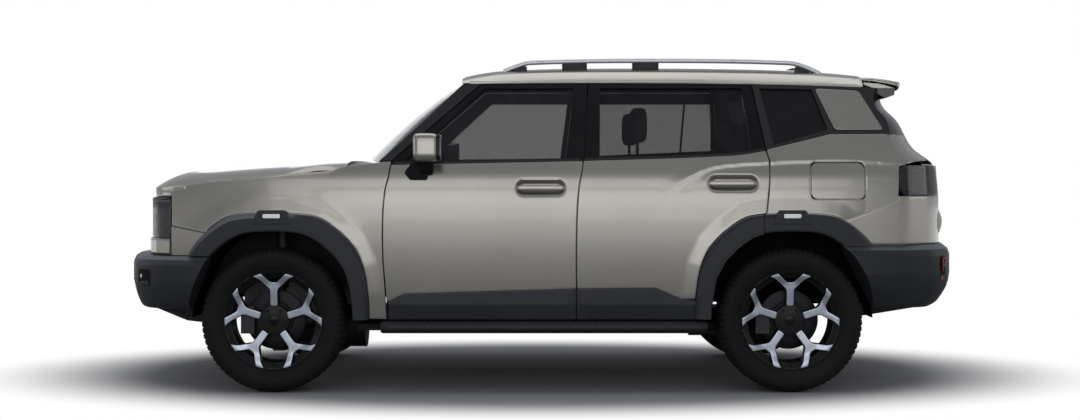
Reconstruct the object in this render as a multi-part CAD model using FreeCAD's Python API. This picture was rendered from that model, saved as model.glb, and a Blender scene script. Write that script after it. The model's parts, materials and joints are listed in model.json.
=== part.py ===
import FreeCAD, Part
import math
import os

# A five-door off-road estate on 20-inch wheels, in millimetres.
# X points forward, Y to the car's left, Z up. The origin is on the ground under the middle of
# the overall length. Side-view places are shares: X of the wheelbase, counted from the middle
# between the axles, and Z of the overall height.

V = FreeCAD.Vector
os.makedirs("parts", exist_ok=True)

# Overall sizes: the length and the overhangs follow the wheelbase
WHEELBASE = 2810.0
length_share = 1.67473
front_overhang_share = 0.32740
LENGTH = WHEELBASE * length_share
FRONT_OVERHANG = WHEELBASE * front_overhang_share
WIDTH = 1967.0
HEIGHT = 1845.0
BODY_WIDTH = 1920.0
TRACK = 1630.0

# Wheels
TYRE_RADIUS = 391.0
TYRE_WIDTH = 255.0
RIM_RADIUS = 272.0
RIM_WIDTH = 216.0
RIM_WALL = 12.0
HUB_RADIUS = 84.0
HUB_BORE = 30.0
SPOKES = 5
SPOKE_STEM = 40.0
SPOKE_DEPTH = 34.0
DISC_RADIUS = 168.0
DISC_THICKNESS = 26.0
DISC_INSET = 62.0

# Sheet, panel and gap sizes
PANEL_GAP = 6.0
SHEET = 8.0
DOOR_THICKNESS = 70.0
FRAME_THICKNESS = 40.0
GLASS = 6.0
GLASS_INSET = 14.0
SEAT_GAP = 0.3
OVERRUN = 400.0
SIDE_FRAME_INSET = 98.0
SIDE_FRAME_DEPTH = 56.0
ROOF_THICKNESS = 30.0

# Door hinges
HINGE_INSET = 16.0
PIN_RADIUS = 5.0
HINGE_ARM = 14.0
HINGE_NOTCH = 30.0
HINGE_SKIN = 4.0

MID_X = LENGTH / 2 - FRONT_OVERHANG - WHEELBASE / 2
FRONT_AXLE_X = MID_X + WHEELBASE / 2
REAR_AXLE_X = MID_X - WHEELBASE / 2
AXLE_Z = TYRE_RADIUS
HALF_BODY = BODY_WIDTH / 2
HALF_WIDTH = WIDTH / 2
WHEEL_Y = TRACK / 2
NOSE_X = LENGTH / 2
TAIL_X = -LENGTH / 2


# Basic shapes

def sx(share):
    """Place along the car from a share of the wheelbase."""
    return MID_X + share * WHEELBASE


def sz(share):
    """Height from a share of the overall height."""
    return share * HEIGHT


def at(place):
    """Point in the side view from a pair of shares."""
    return V(sx(place[0]), 0, sz(place[1]))


def box(x0, x1, y0, y1, z0, z1):
    return Part.makeBox(x1 - x0, y1 - y0, z1 - z0, V(x0, y0, z0))


def rod_y(radius, x, z, y0, y1):
    return Part.makeCylinder(radius, y1 - y0, V(x, y0, z), V(0, 1, 0))


def rod_z(radius, x, y, z0, z1):
    return Part.makeCylinder(radius, z1 - z0, V(x, y, z0), V(0, 0, 1))


def rod_between(radius, start, end):
    return Part.makeCylinder(radius, (end - start).Length, start, end - start)


def mirrored(shape):
    """The same shape on the other side of the car."""
    return shape.mirror(V(0, 0, 0), V(0, 1, 0))


def fuse(first, *others):
    return first.fuse(list(others)).removeSplitter() if others else first


def largest(shape):
    """The biggest solid of a cut or common result."""
    return max(shape.Solids, key=lambda solid: solid.Volume)


def face_of(points):
    return Part.Face(Part.makePolygon(list(points) + [points[0]]))


def across(points, y0, y1):
    """Prism through the car with the side-view outline of the points, from y0 to y1."""
    face = face_of([V(p.x, y0, p.z) for p in points])
    return face.extrude(V(0, y1 - y0, 0))


def shrunk(points, distance):
    """Side-view outline moved inwards by a distance."""
    offset = face_of(points).makeOffset2D(-distance)
    wire = max(offset.Wires, key=lambda ring: ring.Length)
    return [vertex.Point for vertex in wire.OrderedVertexes]


def along(table, place):
    """Smooth curve through (place, value) pairs, cubic between neighbours and level past the ends."""
    if place <= table[0][0]:
        return table[0][1]
    if place >= table[-1][0]:
        return table[-1][1]
    i = max(k for k in range(len(table) - 1) if table[k][0] <= place)
    (x0, v0), (x1, v1) = table[i], table[i + 1]
    before = table[i - 1] if i > 0 else table[i]
    after = table[i + 2] if i + 2 < len(table) else table[i + 1]
    slope0 = (v1 - before[1]) / (x1 - before[0])
    slope1 = (after[1] - v0) / (after[0] - x0)
    t = (place - x0) / (x1 - x0)
    span = x1 - x0
    return (v0 * (1 + 2 * t) * (1 - t) ** 2 + slope0 * span * t * (1 - t) ** 2
            + v1 * t * t * (3 - 2 * t) + slope1 * span * t * t * (t - 1))


def sheet_through(rows):
    surface = Part.BSplineSurface()
    surface.interpolate(rows)
    return surface.toShape()


def save(name, *solids):
    """Write the solids of one node as a STEP file."""
    parts = [piece for shape in solids for piece in shape.Solids]
    shape = parts[0] if len(parts) == 1 else Part.makeCompound(parts)
    shape.exportStep("parts/" + name + ".step")


# Side of the body: half width by height (shares of the body's half width), and what the plan
# takes off towards the nose and the tail

side_profile_shares = [
    (0.170, 0.968), (0.217, 0.978), (0.300, 0.990), (0.410, 0.998), (0.520, 1.000), (0.590, 0.996),
    (0.640, 0.982), (0.684, 0.952), (0.725, 0.922), (0.800, 0.868), (0.870, 0.812), (0.916, 0.776),
    (0.945, 0.748),
]
nose_taper_shares = [(0.27, 0.0), (0.36, 0.004), (0.50, 0.026), (0.60, 0.058), (0.66, 0.086), (0.71, 0.118)]
tail_taper_shares = [(0.47, 0.0), (0.56, 0.008), (0.64, 0.020), (0.70, 0.034), (0.76, 0.052), (0.82, 0.075)]
side_stations_shares = [
    -0.82, -0.78, -0.74, -0.70, -0.66, -0.62, -0.56, -0.50, -0.42, -0.30, -0.15, 0.0, 0.15, 0.27, 0.34,
    0.42, 0.50, 0.56, 0.62, 0.66, 0.69, 0.71,
]


def side_y(x, z):
    """Half width of the painted side at a place in the side view."""
    x_share = (x - MID_X) / WHEELBASE
    share = along(side_profile_shares, z / HEIGHT)
    share -= along(nose_taper_shares, x_share) + along(tail_taper_shares, -x_share)
    return HALF_BODY * share


def side_slab(inset, depth):
    """Layer of the left side, from inset to inset plus depth inside the painted skin."""
    rows = []
    for x_share in side_stations_shares:
        x = sx(x_share)
        rows.append([V(x, side_y(x, sz(z_share)) - inset, sz(z_share)) for z_share, _ in side_profile_shares])
    return sheet_through(rows).extrude(V(0, -depth, 0))


# Lines of the side view

front_gap_shares = [
    (0.2712, 0.6818), (0.2765, 0.6379), (0.2829, 0.5973), (0.2868, 0.5366), (0.2879, 0.4618),
    (0.2868, 0.3854), (0.2829, 0.3100), (0.2794, 0.2168),
]
middle_gap_shares = [
    (-0.1103, 0.9160), (-0.1053, 0.8076), (-0.1004, 0.6997), (-0.0975, 0.6618), (-0.0904, 0.6022),
    (-0.0865, 0.5127), (-0.0854, 0.3631), (-0.0879, 0.2168),
]
rear_gap_shares = [
    (-0.4317, 0.9160), (-0.4427, 0.8130), (-0.4534, 0.7144), (-0.4591, 0.6775), (-0.4559, 0.5875),
    (-0.4459, 0.4678),
]
pillar_line_shares = [(0.2712, 0.6818), (0.0986, 0.9160)]
screen_line_shares = [(0.2993, 0.6786), (0.1263, 0.9171)]
front_window_shares = [(0.0932, 0.8997), (-0.0822, 0.9008), (-0.0651, 0.6894), (0.2445, 0.6840)]
rear_window_shares = [(-0.1338, 0.9008), (-0.4114, 0.9008), (-0.4256, 0.7171), (-0.1310, 0.6970)]
quarter_window_shares = [(-0.4480, 0.9008), (-0.5509, 0.8976), (-0.5765, 0.7751), (-0.4700, 0.7290)]
fender_top_shares = [(0.7025, 0.5940), (0.5950, 0.6206), (0.4715, 0.6407), (0.3936, 0.6493), (0.3658, 0.6660),
                     (0.2993, 0.6786)]
fender_front_shares = [(0.6292, 0.4672), (0.7025, 0.4878)]
quarter_rear_shares = [
    (-0.6021, 0.5084), (-0.7078, 0.5642), (-0.7114, 0.6721), (-0.7830, 0.6850), (-0.7804, 0.7290),
    (-0.7609, 0.7805), (-0.7103, 0.8997), (-0.6701, 0.9062),
]

# Wheel arch outlines about the axle, in tyre radii: the opening, then the flare's outer edge
arch_inner_shares = [(1.125, 0.02), (1.105, 0.26), (1.045, 0.60), (0.925, 0.83), (0.74, 1.02), (0.56, 1.15),
                     (0.35, 1.225), (0.0, 1.245)]
arch_outer_shares = [(1.34, 0.02), (1.325, 0.36), (1.255, 0.76), (1.12, 1.04), (0.885, 1.275), (0.645, 1.43),
                     (0.40, 1.475), (0.0, 1.485)]


def arch_line(axle_x, shares, growth):
    """Side-view arch over an axle, from its front foot over the top to its rear foot."""
    half = [(across_share, up_share) for across_share, up_share in shares]
    line = half + [(-across_share, up_share) for across_share, up_share in reversed(half[:-1])]
    grown = TYRE_RADIUS + growth
    return [V(axle_x + p[0] * grown, 0, AXLE_Z + p[1] * grown) for p in line]


ARCH_LAP = 5.0
ARCH_ROOM = 464.0
low_room_angles = (-70, -55, -40, -25, -11)
FLOOR_Z = 318.0
FLOOR_THICKNESS = 36.0
SILL_TOP = 455.0
SILL_BOTTOM = 322.0
SILL_DEPTH = 100.0
DOOR_BOTTOM = 400.0
FRAME_FLANGE = 48.0


def wheel_room(axle_x, y0, y1, inset):
    """Prism of the room round a wheel: a circle below and at the sides, the arch's own line above it."""
    line = []
    for p in arch_line(axle_x, arch_inner_shares, ARCH_LAP):
        reach = math.hypot(p.x - axle_x, p.z - AXLE_Z)
        stretch = max(ARCH_ROOM / reach, 1)
        line.append(V(axle_x + (p.x - axle_x) * stretch, 0, AXLE_Z + (p.z - AXLE_Z) * stretch))
    low = []
    for angle in low_room_angles:
        turn = math.radians(angle)
        low.append(V(axle_x + ARCH_ROOM * math.cos(turn), 0, AXLE_Z + ARCH_ROOM * math.sin(turn)))
    far = [V(2 * axle_x - p.x, 0, p.z) for p in reversed(low)]
    return across(shrunk(low + line + far, inset) if inset else low + line + far, y0, y1)


def arch_cutter(axle_x, growth):
    """Prism that opens a side panel over a wheel, down past the ground line."""
    line = arch_line(axle_x, arch_inner_shares, growth)
    line = [V(line[0].x, 0, -OVERRUN)] + line + [V(line[-1].x, 0, -OVERRUN)]
    return across(line, 0, HALF_WIDTH + OVERRUN)


def gap_points(shares):
    return [at(place) for place in shares]


def front_door_outline():
    front = gap_points(front_gap_shares)
    middle = gap_points(middle_gap_shares)
    top_front = at(pillar_line_shares[1])
    return [top_front] + front[:-1] + [V(front[-1].x, 0, DOOR_BOTTOM), V(middle[-1].x, 0, DOOR_BOTTOM)] + \
        list(reversed(middle[:-1]))


def rear_door_outline():
    middle = gap_points(middle_gap_shares)
    rear = gap_points(rear_gap_shares)
    arch = arch_line(REAR_AXLE_X, arch_inner_shares, ARCH_LAP)
    wheel_edge = [p for p in arch if p.x > rear[-1].x and p.z > DOOR_BOTTOM]
    foot = V(wheel_edge[0].x, 0, DOOR_BOTTOM)
    return middle[:-1] + [V(middle[-1].x, 0, DOOR_BOTTOM), foot] + wheel_edge + list(reversed(rear))


# Cladding along the doors' feet: it stands out from the skin and tapers at the gaps

CLADDING_OUT = 16.0
CLADDING_TAPER = 66.0
cladding_front_shares = [(0.2772, 0.2661), (0.2456, 0.2900), (-0.0854, 0.3051)]
cladding_rear_shares = [(-0.0854, 0.3051), (-0.2374, 0.3073), (-0.2865, 0.2753), (-0.3196, 0.2726)]
cladding_crease_share = 0.2600


def cladding(top_shares, front_x, rear_x, thickness):
    """Strip on the skin from a door's foot to the cladding line, fullest at its crease."""
    top = gap_points(top_shares)
    levels = [(top_point.x, top_point.z) for top_point in top]
    line = sorted(levels)
    stations = [rear_x, rear_x + CLADDING_TAPER] + [p[0] for p in line if rear_x + CLADDING_TAPER * 1.5 < p[0] <
                                                   front_x - CLADDING_TAPER * 1.5]
    stations += [front_x - CLADDING_TAPER, front_x]
    wires = []
    crease = sz(cladding_crease_share)
    for index, x in enumerate(stations):
        top_z = along(line, x)
        out = CLADDING_OUT if 0 < index < len(stations) - 1 else thickness
        ring = [V(x, side_y(x, DOOR_BOTTOM) - thickness, DOOR_BOTTOM),
                V(x, side_y(x, DOOR_BOTTOM) + out / 2, DOOR_BOTTOM),
                V(x, side_y(x, crease) + out, crease),
                V(x, side_y(x, top_z) + thickness / 2, top_z),
                V(x, side_y(x, top_z) - thickness, top_z)]
        wires.append(Part.makePolygon(ring + [ring[0]]))
    return Part.makeLoft(wires, True, True)


# Flares over the wheels

FLARE_EDGE = 9.0
FLARE_LIP = 30.0
LAMP_POD = 7.0
pod_shares = [(-0.255, 1.35), (0.255, 1.35), (0.235, 1.535), (-0.235, 1.535)]


def flare(axle_x, seat):
    """Band on the left side from the flare's outer edge to the arch opening, with its lamp pod."""
    inner = arch_line(axle_x, arch_inner_shares, 0)
    outer = arch_line(axle_x, arch_outer_shares, 0)
    wires = []
    for low, high in zip(inner, outer):
        ridge = high + (low - high).multiply(flare_ridge_share)
        skin_high = side_y(high.x, high.z)
        ring = [V(high.x, skin_high - FLARE_LIP, high.z), V(high.x, skin_high + FLARE_EDGE, high.z),
                V(ridge.x, HALF_WIDTH - FLARE_EDGE, ridge.z), V(low.x, HALF_WIDTH, low.z),
                V(low.x, side_y(low.x, low.z) - FLARE_LIP, low.z)]
        wires.append(Part.makePolygon(ring + [ring[0]]))
    band = Part.makeLoft(wires, True, True)
    pod_points = [V(axle_x + p[0] * TYRE_RADIUS, 0, AXLE_Z + p[1] * TYRE_RADIUS) for p in pod_shares]
    pod = across(pod_points, HALF_BODY - FLARE_LIP, HALF_WIDTH - LAMP_POD)
    whole = fuse(band, pod).cut(side_slab(seat, OVERRUN))
    outward = 1 if axle_x > 0 else -1
    below = sz(flare_front_share if axle_x > 0 else flare_rear_share)
    return largest(whole.cut(box(min(axle_x, axle_x + LENGTH * outward),
                                 max(axle_x, axle_x + LENGTH * outward),
                                 0, WIDTH, 0, below)))


flare_front_share = 0.403
flare_rear_share = 0.436
flare_ridge_share = 0.24


# Doors

HANDLE_LENGTH = 283.0
HANDLE_HEIGHT = 100.0
HANDLE_DEPTH = 34.0
HANDLE_BAR = 30.0
front_handle_share = (-0.0166, 0.6022)
rear_handle_share = (-0.3876, 0.6152)
hinge_heights_shares = (0.410, 0.570)


def slot_shape(x, z, length, height, y0, y1):
    """Long round-ended shape across the skin, as a handle's recess."""
    radius = height / 2
    body = box(x - length / 2 + radius, x + length / 2 - radius, y0, y1, z - radius, z + radius)
    return fuse(body, rod_y(radius, x - length / 2 + radius, z, y0, y1),
                rod_y(radius, x + length / 2 - radius, z, y0, y1))


def hinge_line(gap_shares):
    """Place of a door's upright hinge axis behind its leading gap."""
    x = min(at(place).x for place in gap_shares if place[1] < hinge_top_share) - HINGE_BACK
    y = min(side_y(x, sz(share)) for share in hinge_heights_shares) - HINGE_INSET
    return x, y


hinge_top_share = 0.62
HINGE_BACK = 30.0


def hinge_room(x, y, share):
    """Notch in a door for one hinge arm."""
    z = sz(share)
    return box(x - HINGE_NOTCH, x + OVERRUN, y - OVERRUN, y + PIN_RADIUS + HINGE_SKIN,
               z - HINGE_ARM - PANEL_GAP, z + HINGE_ARM + PANEL_GAP)


def hinge_bores(x, y, share):
    z = sz(share)
    return rod_z(PIN_RADIUS + SEAT_GAP, x, y, z - HINGE_ARM * 2.5, z + HINGE_ARM * 2.5)


def hinge_arm(x, y, share):
    """Arm of the body with its pin, reaching into the door's notch."""
    z = sz(share)
    arm = box(x - HINGE_ARM, x + HINGE_ARM / 2, y - SIDE_FRAME_INSET, y, z - HINGE_ARM, z + HINGE_ARM)
    return fuse(arm, rod_z(PIN_RADIUS, x, y, z - HINGE_ARM * 2.2, z + HINGE_ARM * 2.2))


def door_shell(outline, window, handle, hinge, strips):
    """Door with its window frame, handle recess and hinge notches, on the left side."""
    edge = shrunk(outline, PANEL_GAP / 2)
    panel = side_slab(0, DOOR_THICKNESS).common(across(edge, 0, HALF_WIDTH + OVERRUN))
    frame_room = side_slab(FRAME_THICKNESS, OVERRUN)
    belt = [at((1, belt_share)), at((-1, belt_rear_share)), at((-1, 1)), at((1, 1))]
    panel = panel.cut(frame_room.common(across(belt, 0, HALF_WIDTH)))
    panel = panel.cut(across(gap_points(window), 0, HALF_WIDTH + OVERRUN))
    x, z = sx(handle[0]), sz(handle[1])
    y = side_y(x, z)
    panel = panel.cut(slot_shape(x, z, HANDLE_LENGTH, HANDLE_HEIGHT, y - HANDLE_DEPTH, y + OVERRUN))
    bar = slot_shape(x, z, HANDLE_LENGTH - HANDLE_BAR, HANDLE_BAR, y - HANDLE_DEPTH - HANDLE_BAR / 2,
                     y - HANDLE_BAR / 3)
    x, y = hinge
    panel = fuse(panel, bar, *strips)
    for share in hinge_heights_shares:
        panel = panel.cut(hinge_room(x, y, share)).cut(hinge_bores(x, y, share))
    return largest(panel)


belt_share = 0.700
belt_rear_share = 0.745


def window_pane(window):
    """Side glass set inside the skin, lapping the frame's opening."""
    edge = shrunk(gap_points(window), SEAT_GAP)
    return side_slab(GLASS_INSET, GLASS).common(across(edge, 0, HALF_WIDTH))


# Roof

roof_centre_shares = [(-0.6719, 0.9485), (-0.5972, 0.9604), (-0.4979, 0.9696), (-0.3658, 0.9745),
                      (-0.1968, 0.9762), (-0.0456, 0.9740), (0.0601, 0.9669), (0.0968, 0.9588),
                      (0.1377, 0.9447)]
roof_edge_shares = [(-0.7573, 0.8997), (-0.6683, 0.9062), (-0.4726, 0.9138), (-0.2335, 0.9182),
                    (0.1270, 0.9176), (0.1573, 0.9149)]
roof_section_shares = [(0.0, 0.0), (0.40, 0.03), (0.67, 0.09), (0.80, 0.16), (0.88, 0.28), (0.94, 0.50),
                       (0.98, 0.78), (1.0, 1.0)]


def roof_half(x):
    return side_y(x, sz(along(roof_edge_shares, (x - MID_X) / WHEELBASE)))


def roof_z(x, y):
    """Height of the roof skin: a low crown that turns down over its last quarter."""
    x_share = (x - MID_X) / WHEELBASE
    top = sz(along(roof_centre_shares, x_share))
    edge = sz(along(roof_edge_shares, x_share))
    return top - (top - edge) * along(roof_section_shares, min(abs(y) / roof_half(x), 1.0))


def roof_skin(lift):
    rows = []
    sides = [-s for s, _ in reversed(roof_section_shares[1:])] + [s for s, _ in roof_section_shares]
    for x_share, _ in roof_centre_shares:
        x = sx(x_share)
        rows.append([V(x, s * roof_half(x), roof_z(x, s * roof_half(x)) + lift) for s in sides])
    return sheet_through(rows)


def roof_panel():
    panel = roof_skin(0).extrude(V(0, 0, -ROOF_THICKNESS))
    seam = [V(sx(p[0]), 0, sz(p[1])) for p in roof_edge_shares]
    under = seam + [at((1, seam_low_share)), at((-1, seam_low_share))]
    panel = panel.cut(across(under, -HALF_WIDTH, HALF_WIDTH))
    panel = panel.cut(windscreen_sheet(GLASS + SEAT_GAP)).cut(windscreen_sheet(-OVERRUN))
    return largest(panel.cut(box(TAIL_X, roof_end_x(), -HALF_WIDTH, HALF_WIDTH, 0, HEIGHT)))


seam_low_share = 0.5


# Windscreen: rows from its foot to its top, each from the side to the middle

screen_rows_shares = [
    ((0.2890, 0.6790, 0.885), (0.3260, 0.6900, 0.480), (0.3374, 0.6960, 0.0)),
    ((0.2090, 0.8000, 0.802), (0.2370, 0.8220, 0.420), (0.2450, 0.8290, 0.0)),
    ((0.1200, 0.9160, 0.716), (0.1360, 0.9370, 0.360), (0.1400, 0.9430, 0.0)),
]


def windscreen_sheet(thickness):
    rows = []
    for row in screen_rows_shares:
        left = [V(sx(p[0]), p[2] * HALF_BODY, sz(p[1])) for p in row]
        right = [V(p.x, -p.y, p.z) for p in reversed(left[:-1])]
        rows.append(left + right)
    return sheet_through(rows).extrude(V(-thickness, 0, -thickness))


# Body sides: pillars, sill, roof rail and quarter panel of each side

SILL_Y0 = 720.0
rail_top_share = 0.934


def body_side():
    """Left side structure behind the doors, with the quarter panel and the windscreen pillar."""
    frame = side_slab(SIDE_FRAME_INSET, SIDE_FRAME_DEPTH)
    pillar = [at(p) for p in screen_line_shares]
    rear = gap_points(quarter_rear_shares)
    outline = [V(at(front_gap_shares[-1]).x, 0, SILL_TOP - FRAME_FLANGE), pillar[0],
               V(pillar[1].x, 0, sz(rail_top_share)), V(rear[-1].x, 0, sz(rail_top_share) - FRAME_FLANGE / 2)]
    outline += list(reversed(rear)) + [V(rear[0].x, 0, SILL_TOP - FRAME_FLANGE)]
    side = frame.common(across(outline, 0, HALF_WIDTH))
    for door in (front_door_outline(), rear_door_outline()):
        side = side.cut(across(shrunk(door, FRAME_FLANGE), 0, HALF_WIDTH))
    gap = gap_points(rear_gap_shares)
    arch = arch_line(REAR_AXLE_X, arch_inner_shares, ARCH_LAP)
    panel_line = gap + [p for p in arch if rear[0].x < p.x < gap[-1].x] + rear
    quarter = side_slab(0, SIDE_FRAME_INSET + SIDE_FRAME_DEPTH).common(
        across(shrunk(panel_line, PANEL_GAP / 2), 0, HALF_WIDTH))
    post_line = [at(p) for p in pillar_line_shares] + [pillar[1], pillar[0]]
    post = side_slab(0, SIDE_FRAME_INSET).common(across(shrunk(post_line, PANEL_GAP / 2), 0, HALF_WIDTH))
    side = fuse(side, quarter, post)
    side = side.cut(across(gap_points(quarter_window_shares), 0, HALF_WIDTH))
    side = side.cut(arch_cutter(REAR_AXLE_X, ARCH_LAP))
    side = side.cut(wheel_room(REAR_AXLE_X, 0, HALF_WIDTH, 0))
    sill = box(at(cladding_rear_shares[2]).x, at(front_gap_shares[-1]).x, SILL_Y0,
               SILL_Y0 + SILL_DEPTH, SILL_BOTTOM, SILL_TOP)
    side = fuse(side, sill)
    for gap_shares in (front_gap_shares, middle_gap_shares):
        x, y = hinge_line(gap_shares)
        side = fuse(side, *[hinge_arm(x, y, share) for share in hinge_heights_shares])
    side = side.cut(roof_skin(-SEAT_GAP).extrude(V(0, 0, OVERRUN)))
    side = side.cut(roof_skin(-SEAT_GAP).extrude(V(0, 0, -ROOF_THICKNESS)))
    side = side.cut(windscreen_sheet(GLASS + SEAT_GAP)).cut(tail_sheet(0).extrude(V(-OVERRUN, 0, 0)))
    gate_room = tail_sheet(-GATE_GAP).extrude(V(GATE_THICKNESS + GATE_GAP * 2, 0, 0))
    grown = [(p[0] + gate_room_share, p[1]) for p in gate_shares]
    grown.append((grown[-1][0], tail_centre_shares[-1][0]))
    side = side.cut(gate_room.common(lengthways(grown, TAIL_X - OVERRUN, 0)))
    y = HALF_BODY * spoiler_width_share + GATE_GAP
    room = shrunk(gap_points(spoiler_shares), -GATE_GAP)
    lip = (at(spoiler_shares[0]) - at(gate_hinge_shares)).Length + GATE_GAP / 2
    hinge = at(gate_hinge_shares)
    return largest(side.cut(across(room, -y, y)).cut(rod_y(lip, hinge.x, hinge.z, -y, y)))


gate_room_share = 0.010


FLAP_ROOM = 58.0
FLAP_GAP = 4.0
FLAP_THICKNESS = 10.0
FLAP_PIN = 2.5
FLAP_PIN_HALF = 30.0
flap_shares = ((-0.6416, 0.5702), (-0.5388, 0.6743))


def flap_outline(growth):
    low, high = at(flap_shares[0]), at(flap_shares[1])
    return [V(low.x - growth, 0, low.z - growth), V(high.x + growth, 0, low.z - growth),
            V(high.x + growth, 0, high.z + growth), V(low.x - growth, 0, high.z + growth)]


def flap_hinge():
    """Middle of the filler flap's axis near its front edge, and the direction that leans with the skin."""
    low, high = at(flap_shares[0]), at(flap_shares[1])
    x, z = high.x - FLAP_GAP * 2, (low.z + high.z) / 2
    lean = side_y(x, z + FLAP_PIN_HALF) - side_y(x, z - FLAP_PIN_HALF)
    return V(x, side_y(x, z) - FLAP_THICKNESS * 0.6, z), V(0, lean, FLAP_PIN_HALF * 2).normalize()


def flap_lugs(growth, reach):
    """The two ears that hold the flap's pin, out of the recess's front wall, or the room for them."""
    middle, way = flap_hinge()
    front = at(flap_shares[1]).x + FLAP_GAP
    lugs = []
    for side in (-1, 1):
        centre = middle + way * (FLAP_PIN_HALF * side)
        lugs.append(box(centre.x - FLAP_PIN - growth, front + FLAP_GAP / 2, centre.y - FLAP_PIN * 2 - reach,
                        centre.y + FLAP_PIN + reach, centre.z - FLAP_PIN - growth,
                        centre.z + FLAP_PIN + growth))
    return lugs


def flap_pin(radius, reach):
    middle, way = flap_hinge()
    return rod_between(radius, middle - way * reach, middle + way * reach)


def with_flap_recess(side):
    """Filler recess in the left quarter panel, with the flap's ears and pin."""
    room = side_slab(-OVERRUN, OVERRUN + FLAP_ROOM).common(across(flap_outline(FLAP_GAP), 0, OVERRUN * 4))
    return largest(fuse(side.cut(room), flap_pin(FLAP_PIN, FLAP_PIN_HALF), *flap_lugs(0, 0)))


def fuel_flap():
    plate = side_slab(0, FLAP_THICKNESS).common(across(flap_outline(0), 0, HALF_WIDTH))
    plate = plate.cut(flap_pin(FLAP_PIN + SEAT_GAP, FLAP_PIN_HALF + FLAP_PIN * 2))
    for room in flap_lugs(FLAP_GAP / 2, OVERRUN):
        plate = plate.cut(room)
    return largest(plate)


# Fenders and hood

FENDER_SHEET = 8.0
HOOD_THICKNESS = 24.0
HOOD_GAP = 6.0
hood_centre_shares = [(0.3388, 0.6900), (0.3591, 0.6883), (0.4879, 0.6764), (0.6064, 0.6645),
                      (0.7139, 0.6450),
                      (0.7552, 0.6114), (0.7712, 0.5827), (0.7783, 0.5528)]
hood_side_shares = [(0.3388, 0.6560), (0.3936, 0.6493), (0.4715, 0.6407), (0.5950, 0.6206), (0.6982, 0.5951),
                    (0.7480, 0.5500)]
hood_section_shares = [(0.0, 0.0), (0.40, 0.04), (0.62, 0.10), (0.78, 0.24), (0.88, 0.46), (0.95, 0.72),
                       (1.0, 1.0)]
hood_rear_share = 0.3620
hood_plan_shares = [(0.0, 0.7760), (0.31, 0.7715), (0.52, 0.7625), (0.63, 0.7540), (0.73, 0.7430),
                    (0.80, 0.7250),
                    (0.845, 0.7000)]


def hood_half(x):
    return side_y(x, sz(along(hood_side_shares, (x - MID_X) / WHEELBASE))) - HOOD_GAP * 1.5


def hood_z(x, y):
    """Height of the hood skin: flat in the middle, rounded down to its side seams."""
    x_share = (x - MID_X) / WHEELBASE
    top = sz(along(hood_centre_shares, x_share))
    edge = sz(along(hood_side_shares, x_share))
    return top - (top - edge) * along(hood_section_shares, min(abs(y) / hood_half(x), 1.0))


def hood_skin(lift, growth):
    """Hood surface raised by a lift and widened by a growth on each side."""
    rows = []
    sides = [-s for s, _ in reversed(hood_section_shares[1:])] + [s for s, _ in hood_section_shares]
    for x_share, _ in hood_centre_shares:
        x = sx(x_share)
        rows.append([V(x, s * (hood_half(x) + growth), hood_z(x, s * hood_half(x)) + lift) for s in sides])
    return sheet_through(rows)


def plan_points(shares):
    """Plan line from the right side round to the left, from shares of the half width and wheelbase."""
    half = [V(sx(p[1]), p[0] * HALF_BODY, 0) for p in shares]
    return [V(p.x, -p.y, 0) for p in reversed(half[1:])] + half


def plan_prism(points, z0, z1):
    face = face_of([V(p.x, p.y, z0) for p in points])
    return face.extrude(V(0, 0, z1 - z0))


hood_hinge_shares = (0.36797, 0.65366)
HOOD_HINGE_X = sx(hood_hinge_shares[0])
HOOD_HINGE_Z = sz(hood_hinge_shares[1])
HOOD_HINGE_Y = 700.0
HOOD_PIN = 6.0
HOOD_ARM = 9.0


def hood():
    nose = plan_points(hood_plan_shares)
    rear_x = sx(hood_rear_share)
    corner = HOOD_GAP * 4
    left = [V(nose[-1].x, HALF_BODY, 0), V(rear_x + corner * 3, HALF_BODY, 0),
            V(rear_x + corner * 3, hood_half(rear_x), 0), V(rear_x, hood_half(rear_x) - corner, 0)]
    outline = nose + left + [V(p.x, -p.y, 0) for p in reversed(left)]
    skin = hood_skin(0, 0).extrude(V(0, 0, -HOOD_THICKNESS)).common(plan_prism(outline, 0, HEIGHT))
    lugs = []
    for y in (-HOOD_HINGE_Y, HOOD_HINGE_Y):
        lug = box(HOOD_HINGE_X - HOOD_ARM * 1.5, HOOD_HINGE_X + HOOD_ARM * 1.5, y - HOOD_ARM, y + HOOD_ARM,
                  HOOD_HINGE_Z - HOOD_ARM * 1.5, hood_z(HOOD_HINGE_X, y) - HOOD_THICKNESS / 2)
        lugs.append(lug.cut(rod_y(HOOD_PIN + SEAT_GAP, HOOD_HINGE_X, HOOD_HINGE_Z, y - OVERRUN, y + OVERRUN)))
    whole = fuse(skin, *lugs)
    return largest(whole.cut(box(sx(hood_plan_shares[-1][1]) - NOSE_DEPTH * 2, LENGTH, -HALF_WIDTH,
                                 HALF_WIDTH, 0,
                                 sz(lamp_z_shares[1]) + PANEL_GAP / 2)))


def fender():
    """Left wing: a sheet from the hood seam down to the arch and back to the door."""
    front = gap_points(front_gap_shares)
    top = gap_points(fender_top_shares)
    nose = gap_points(fender_front_shares)
    arch = arch_line(FRONT_AXLE_X, arch_inner_shares, ARCH_LAP)
    arch = [p for p in arch if p.x < nose[0].x and not (p.x < FRONT_AXLE_X and p.z < DOOR_BOTTOM)]
    foot = V(front[-1].x, 0, DOOR_BOTTOM)
    outline = top + front[:-1] + [foot, V(arch[-1].x, 0, DOOR_BOTTOM)] + list(reversed(arch)) + nose
    sheet = side_slab(0, FENDER_SHEET).common(across(shrunk(outline, PANEL_GAP / 2), 0, HALF_WIDTH))
    seam = hood_skin(HOOD_GAP / 2, HOOD_GAP).extrude(V(0, 0, -HOOD_THICKNESS - HOOD_GAP))
    return largest(sheet.cut(seam))


# Nose: grille, lamps, painted chin and bumper, each a profile carried round a plan line

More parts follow.
